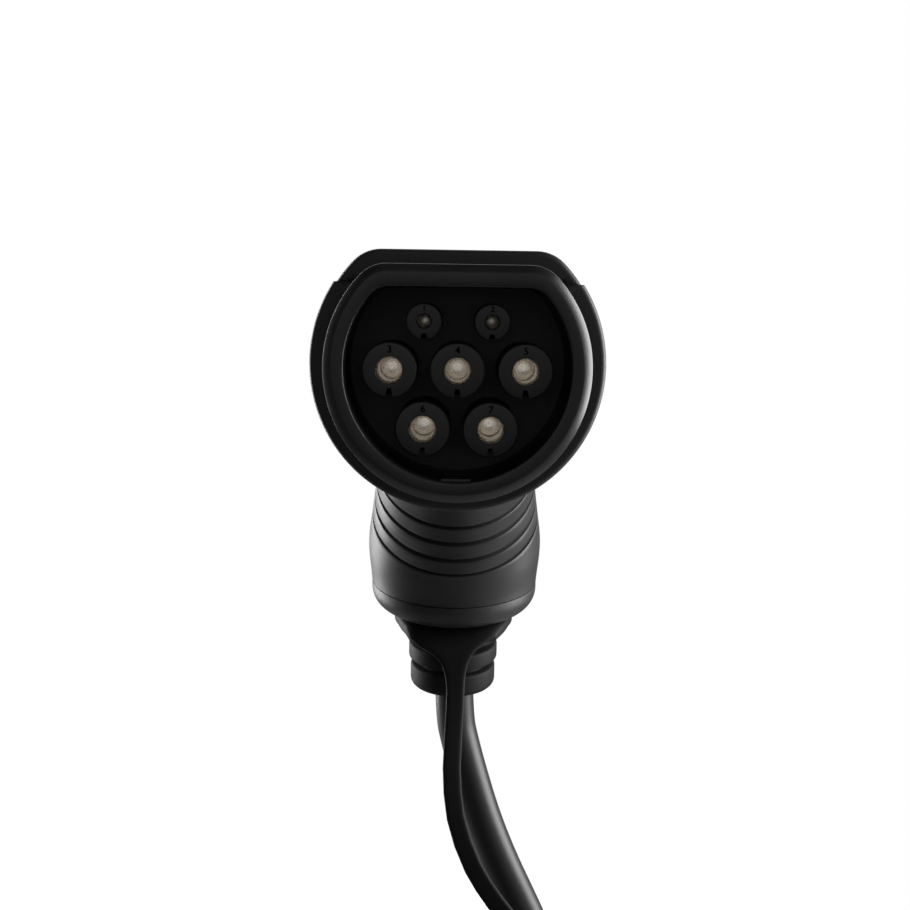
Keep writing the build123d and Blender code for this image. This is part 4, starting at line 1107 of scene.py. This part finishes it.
@dataclass
class Strap:
    """The dust cap's tether: rubber ring, tongue, strap and eye."""

    spine: Spine
    thickness: float = 2.5
    root: float = 4.9
    ring_radius: float = 19.0
    neck: float = 12.1
    start: float = 11.5
    eye: Point = (27.0, 66.75, -179.2)
    eye_radius: float = 5.5
    stud_radius: float = 2.05
    corner_power: float = 5.0
    # where the strap runs closer to the Y axis than this, its width lies along X
    forward_limit: float = 0.93
    # distance in front of the tail axis and width, on the flat tongue
    plate: Sequence[tuple[float, float]] = (
        (-4.0, 37.0), (2.0, 37.4), (6.0, 36.6), (10.0, 34.8), (14.0, 32.4), (17.0, 30.0))
    # place of the middle of each section, its width and its thickness
    route: Sequence[tuple[Point, float, float]] = (
        ((0.0, 93.2, -88.1), 26.6, 3.4),
        ((0.1, 92.2, -89.6), 20.5, 2.8),
        ((0.3, 91.4, -91.2), 15.0, 2.6),
        ((0.5, 91.0, -93.2), 10.8, 2.6),
        ((0.7, 90.8, -95.4), 8.2, 2.6),
        ((0.8, 90.7, -97.6), 6.9, 2.6),
        ((0.9, 90.5, -100.5), 6.0, 2.5),
        ((1.0, 90.2, -103.5), 5.6, 2.5),
        ((0.9, 88.9, -108.5), 5.6, 2.5),
        ((0.5, 86.2, -117.0), 5.6, 2.5),
        ((0.2, 82.5, -126.0), 5.6, 2.5),
        ((0.6, 79.6, -133.0), 5.6, 2.5),
        ((1.7, 77.0, -140.0), 5.6, 2.5),
        ((4.0, 74.4, -147.0), 5.6, 2.5),
        ((7.3, 72.0, -154.0), 5.6, 2.5),
        ((10.6, 70.4, -159.0), 5.6, 2.5),
        ((14.1, 69.0, -163.5), 5.6, 2.5),
        ((19.4, 67.2, -169.5), 5.6, 2.5),
        ((22.9, 66.75, -173.6), 5.6, 2.5),
        ((25.4, 66.75, -176.9), 5.6, 2.5))

    def section(self, form: Form, place: Matrix, width: float, depth: float) -> list[Edge]:
        """A flat section with rounded corners."""
        power = self.corner_power

        def outline(cosine: float, sine: float) -> tuple[float, float]:
            """A rounded rectangle by way of a super-ellipse."""
            share = (abs(cosine) ** power + abs(sine) ** power) ** (-1 / power)
            return cosine * share * width / 2, sine * share * depth / 2

        return form.ring(place, outline, segments=40)

    def strap_places(self, before: Vector) -> list[Matrix]:
        """A place across the strap at each point of its route, given the tongue's last point."""
        line = [before] + [Vector(point) for point, _, _ in self.route]
        places = []
        for i, point in enumerate(line[1:], 1):
            way = (line[min(i + 1, len(line) - 1)] - line[i - 1]).normalized()
            across = Vector((0, 1, 0)).cross(way) if abs(way.y) < self.forward_limit else Vector((1, 0, 0))
            if across.x < 0:
                across.negate()
            across.normalize()
            place = Matrix((across, way.cross(across), way)).transposed().to_4x4()
            place.translation = point
            places.append(place)
        return places

    def build(self) -> None:
        """Make the whole tether."""
        form = Form()
        tail = self.spine.tail()
        end = self.start + self.thickness
        rings = []
        for reach, width in self.plate:
            middle = Matrix.Translation((0, -reach, end - self.root / 2))
            place = tail @ middle @ Matrix.Rotation(pi / 2, 4, "X")
            rings.append(self.section(form, place, width, self.root))
        tongue_end = tail @ Vector((0, -self.plate[-1][0], self.start + self.thickness / 2))
        for place, (_, width, depth) in zip(self.strap_places(tongue_end), self.route):
            rings.append(self.section(form, place, width, depth))
        form.join(*rings)
        form.lid(rings[0])
        form.lid(rings[-1])
        inner, outer, low = self.neck, self.ring_radius, self.start + 0.05
        form.turn([(inner, low), (outer - 0.5, low), (outer, self.start + 0.5), (outer, end - 0.5),
                   (outer - 0.5, end), (inner, end), (inner, low)], tail, segments=120)
        inner, outer, half = self.stud_radius, self.eye_radius, self.thickness / 2
        form.turn([(inner, -half), (outer - 0.4, -half), (outer, 0.4 - half), (outer, half - 0.4),
                   (outer - 0.4, half), (inner, half), (inner, -half)], facing_front(*self.eye), segments=48)
        piece = form.object("tether_strap", Look.RUBBER, sharp=35)
        settle(piece, Look.RUBBER, "tether")


@dataclass
class Cable:
    """The whole charging cable as one free cord, from the grip through the coil to the box."""

    diameter: float = 12.5
    coil: tuple[float, float] = (-54.0, 234.0)
    outer_turn: float = 100.0
    columns: int = 4
    length_m: float = 4.5
    turn_points: int = 24
    # where in a turn the cable moves over by one column and drops to the floor layer, and for how long
    shift_from: float = 0.70
    shift_for: float = 0.14
    drop_from: float = 0.83
    drop_for: float = 0.12
    hanging: Sequence[Point] = (
        (0.0, 108.883, -62.666), (0.0, 119.091, -115.182), (3.6, 120.5, -131.5), (12.6, 119.5, -160.0),
        (27.0, 114.0, -188.0), (39.5, 104.0, -213.0), (45.6, 98.2, -238.0), (46.0, 98.0, -262.5),
        (46.0, 105.4, -285.3), (46.0, 119.5, -304.7), (46.0, 138.9, -318.8), (46.0, 161.7, -326.25),
        (46.0, 182.0, -326.25))
    to_box: Sequence[Point] = (
        (-154.0, 182.0, -338.75), (-154.0, 122.0, -338.75), (-153.5, 92.0, -338.75), (-144.1, 70.1, -338.75),
        (-125.8, 51.8, -338.75), (-101.9, 41.9, -338.75), (-76.0, 41.9, -337.75), (-52.1, 51.8, -332.75),
        (-33.8, 70.1, -323.75), (-24.0, 95.0, -311.8), (-24.0, 115.0, -305.3), (-24.0, 135.0, -305.3))

    def winding(self) -> list[Point]:
        """Control points of the coil's turns, top layer inwards and floor layer outwards."""
        x, y = self.coil
        step = 2 * pi / self.turn_points
        # the curve runs inside its control points, so they stand a little further out
        swell = 1.0 / (0.75 + 0.25 * cos(step))
        top = FLOOR + 1.5 * self.diameter
        low = FLOOR + 0.5 * self.diameter
        points = []
        count = int((2 * self.columns - 0.5) * self.turn_points)
        for i in range(count + 1):
            angle = i * step
            turn, share = divmod(angle / (2 * pi), 1.0)
            shift = smooth_step((share - self.shift_from) / self.shift_for)
            drop = smooth_step((share - self.drop_from) / self.drop_for)
            if turn < self.columns - 1:
                column, height = turn + shift, top
            elif turn == self.columns - 1:
                column, height = turn, top + (low - top) * drop
            else:
                column, height = 2 * self.columns - 1 - turn - shift, low
            radius = (self.outer_turn - max(0.0, column) * self.diameter) * swell
            points.append((x + radius * cos(angle), y + radius * sin(angle), height))
        return points

    def build(self, on_cable: Sequence[str]) -> None:
        """Make the cable as a curve.

        Args:
            on_cable: Names of the pieces and nodes that the cable carries; not used.
        """
        route = [*self.hanging, *self.winding(), *self.to_box]
        curve = bpy.data.curves.new("charging_cable", "CURVE")
        curve.dimensions = "3D"
        curve.bevel_depth = self.diameter / 2 * MM
        curve.bevel_resolution = 10
        curve.resolution_u = 10
        curve.use_fill_caps = True
        spline = curve.splines.new("NURBS")
        spline.points.add(len(route) - 1)
        for point, (x, y, z) in zip(spline.points, route):
            point.co = (x * MM, y * MM, z * MM, 1.0)
        spline.order_u = 3
        spline.use_endpoint_u = True
        curve.materials.append(Look.JACKET.value.material())
        cable = in_scene("charging_cable", curve)
        settle(cable, Look.JACKET, "cable", "cable_coil", "cable_to_box")
        tuple(v * MM for v in self.hanging[0])


# light, floor and camera


@dataclass(frozen=True)
class Lamp:
    """A soft rectangular lamp, with its places and sizes in metres."""

    name: str
    place: Point
    target: Point
    size: tuple[float, float]
    watts: float

    def light(self) -> None:
        """Set the lamp up."""
        data = bpy.data.lights.new(self.name, "AREA")
        data.shape = "RECTANGLE"
        data.size, data.size_y = self.size
        data.energy = self.watts
        way = Vector(self.target) - Vector(self.place)
        turned = way.to_track_quat("-Z", "Y").to_matrix().to_4x4()
        in_scene(self.name, data).matrix_world = Matrix.Translation(self.place) @ turned


@dataclass
class Studio:
    """Floor, light and the photograph's camera."""

    lamps: Sequence[Lamp] = (
        Lamp("right_softbox", (0.75, 0.10, 0.05), (0, 0.06, -0.03), (0.5, 0.9), 32.0),
        Lamp("left_softbox", (-0.62, 0.52, 0.0), (0, 0.06, -0.06), (0.4, 0.8), 16.0))
    eye: Point = (-0.3, -401.5, 17.5)
    focal_px: float = 1608.0
    frame_px: float = 910.0
    sensor_mm: float = 36.0
    near_m: float = 0.01
    far_m: float = 50.0
    # degrees down, and degrees of turn about the line of sight
    pitch: float = 5.5
    roll: float = 0.9
    # half the floor's width, and the round stretch in metres over which it fades to white
    floor_half: float = 9000.0
    fade_middle_y: float = 0.15
    fade_start: float = 0.28
    fade_end: float = 0.48
    # shares of full white, as the floor and the world behind it are seen, mirrored or give light
    ambient: float = 0.18
    floor_white: float = 0.86
    floor_dim: float = 0.30
    front_glow: float = 0.74
    floor_glow: float = 0.15
    side_glow: float = 0.10
    front_full: float = -0.8
    front_end: float = -0.35
    behind_from: float = 0.3
    behind_to: float = 0.85

    def camera(self) -> None:
        """The camera at the photograph's angle."""
        pitch, roll = radians(self.pitch), radians(self.roll)
        right, up = Vector((1, 0, 0)), Vector((0, sin(pitch), cos(pitch)))
        forward = Vector((0, cos(pitch), -sin(pitch)))
        turned_right = right * cos(roll) + up * sin(roll)
        turned_up = up * cos(roll) - right * sin(roll)
        data = bpy.data.cameras.new("camera")
        data.sensor_width = self.sensor_mm
        data.lens = self.focal_px / self.frame_px * self.sensor_mm
        data.clip_start, data.clip_end = self.near_m, self.far_m
        frame = Matrix((turned_right, turned_up, -forward)).transposed().to_4x4()
        frame.translation = Vector(self.eye) * MM
        camera = in_scene("camera", data)
        camera.matrix_world = frame
        bpy.context.scene.camera = camera

    def ground(self) -> None:
        """A pale floor that reads white far from the object and keeps its shadow."""
        form = Form()
        bmesh.ops.create_grid(form.mesh, x_segments=2, y_segments=2, size=self.floor_half,
                              matrix=Matrix.Translation((0, 0, FLOOR)))
        bmesh.ops.scale(form.mesh, vec=(MM, MM, MM), verts=form.mesh.verts)
        data = bpy.data.meshes.new("floor")
        form.mesh.to_mesh(data)
        form.mesh.free()
        made = bpy.data.materials.new("pale_floor")
        made.use_nodes = True
        graph = Graph(made.node_tree)
        seen = graph.node("ShaderNodeLightPath", output="Is Camera Ray")
        mirrored = graph.node("ShaderNodeLightPath", output="Is Glossy Ray")
        x, y = graph.axis("X"), graph.axis("Y") - self.fade_middle_y
        far = graph.ramp((x * x + y * y) ** 0.5, self.fade_start, self.fade_end)
        tone = graph.tint(seen, (self.floor_dim,) * 3, (self.floor_white,) * 3)
        paint = graph.node("ShaderNodeBsdfPrincipled", None, {"Base Color": tone, "Roughness": 0.9})
        white = graph.node("ShaderNodeEmission", None,
                           {"Color": (1, 1, 1, 1), "Strength": seen + (1.0 - seen) * self.floor_glow})
        share = graph.maths("MAXIMUM", seen, mirrored) * far
        graph.node_output("ShaderNodeOutputMaterial",
                          graph.node("ShaderNodeMixShader", None, {0: share, 1: paint, 2: white}))
        data.materials.append(made)
        in_scene("floor", data)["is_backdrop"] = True

    def world(self) -> None:
        """White behind the object, softer for the light it gives."""
        world = bpy.data.worlds.new("studio")
        world.use_nodes = True
        bpy.context.scene.world = world
        graph = Graph(world.node_tree)
        seen = graph.node("ShaderNodeLightPath", output="Is Camera Ray")
        mirrored = graph.node("ShaderNodeLightPath", output="Is Glossy Ray")
        way = graph.node("ShaderNodeTexCoord", output="Generated")
        along = graph.node("ShaderNodeSeparateXYZ", None, {"Vector": way}, "Y")
        front = graph.ramp(along, self.front_full, self.front_end, self.front_glow, self.side_glow)
        behind = front + graph.ramp(along, self.behind_from, self.behind_to) * (1.0 - self.side_glow)
        lit = mirrored * behind + (1.0 - mirrored) * self.ambient
        strength = seen + (1.0 - seen) * lit
        light = graph.node("ShaderNodeBackground", None, {"Color": (1, 1, 1, 1), "Strength": strength})
        graph.node_output("ShaderNodeOutputWorld", light)

    def build(self) -> None:
        """Set everything up."""
        bpy.context.scene.view_settings.view_transform = "Standard"
        self.camera()
        self.ground()
        self.world()
        for lamp in self.lamps:
            lamp.light()


# everything together


# CAD nodes that get a smooth copy, with its finish and the rounding of its edges
BOX_SKINS: Sequence[tuple[str, Look, float]] = (
    ("box_base", Look.BOX, 0.4), ("box_lid", Look.BOX, 0.4), ("cable_gland", Look.GLAND, 0.3),
    ("supply_gland", Look.GLAND, 0.3), ("status_window", Look.WINDOW, 0.2))
BOX_INSIDE = ("box_seal", "box_screws", "circuit_board", "relays", "current_sensor", "gland_nuts")
# CAD nodes that keep their own mesh
HIDDEN: dict[Look, Sequence[str]] = {
    Look.RUBBER: ("carrier_seal", "box_seal"),
    Look.CARRIER: ("contact_retainer", "cable_clamp"),
    Look.SCREW: ("retainer_screws", "shell_screws", "clamp_screws", "box_screws"),
    Look.SPRING: ("contact_springs",),
    Look.RESISTOR: ("coding_resistor",),
    Look.CORE_BLUE: ("core_neutral",),
    Look.CORE_GREEN: ("core_earth",),
    Look.CORE_BROWN: ("core_line_1",),
    Look.CORE_BLACK: ("core_line_2",),
    Look.CORE_GREY: ("core_line_3",),
    Look.CORE_ORANGE: ("core_control_pilot",),
    Look.BOARD: ("circuit_board",),
    Look.RELAY: ("relays", "current_sensor"),
    Look.GLAND: ("gland_nuts",)}


def dress_hidden(nodes: dict[str, bpy.types.Object]) -> None:
    """Give the inner CAD nodes their finishes."""
    for finish, names in HIDDEN.items():
        for name in names:
            for slot in nodes[name].material_slots:
                slot.material = finish.value.material()


def box_of(bounds: Sequence[Sequence[float]]) -> list[list[float]]:
    """A pair of corners as plain lists."""
    return [[float(v) for v in corner] for corner in bounds]


def main() -> None:
    """Build every piece in order."""
    logging.basicConfig(level=logging.INFO)
    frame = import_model()
    cad_box = box_of(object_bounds())
    nodes = frame["nodes"]
    Studio().build()
    spine = Spine()
    Nozzle().collar()
    Carrier().build()
    Housing(spine).build()
    tail = Tail(spine)
    tail.cap()
    relief = tail.relief()
    Strap(spine).build()
    smoothed(nodes["dust_cap"], Look.RUBBER, 0.5)
    on_cable = [relief.name]
    for name, finish, edge in BOX_SKINS:
        on_cable.append(smoothed(nodes[name], finish, edge).name)
    on_cable += BOX_INSIDE
    Cable().build(on_cable)
    dress_hidden(nodes)
    json_line(cad_box) + "\n" + json_line(box_of(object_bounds())) + "\n"


def json_line(value: list[list[float]]) -> str:
    """A pair of corners as one line of plain lists."""
    return "[" + ", ".join("[" + ", ".join(f"{v:.5f}" for v in corner) + "]" for corner in value) + "]"


if __name__ == "__main__":
    main()
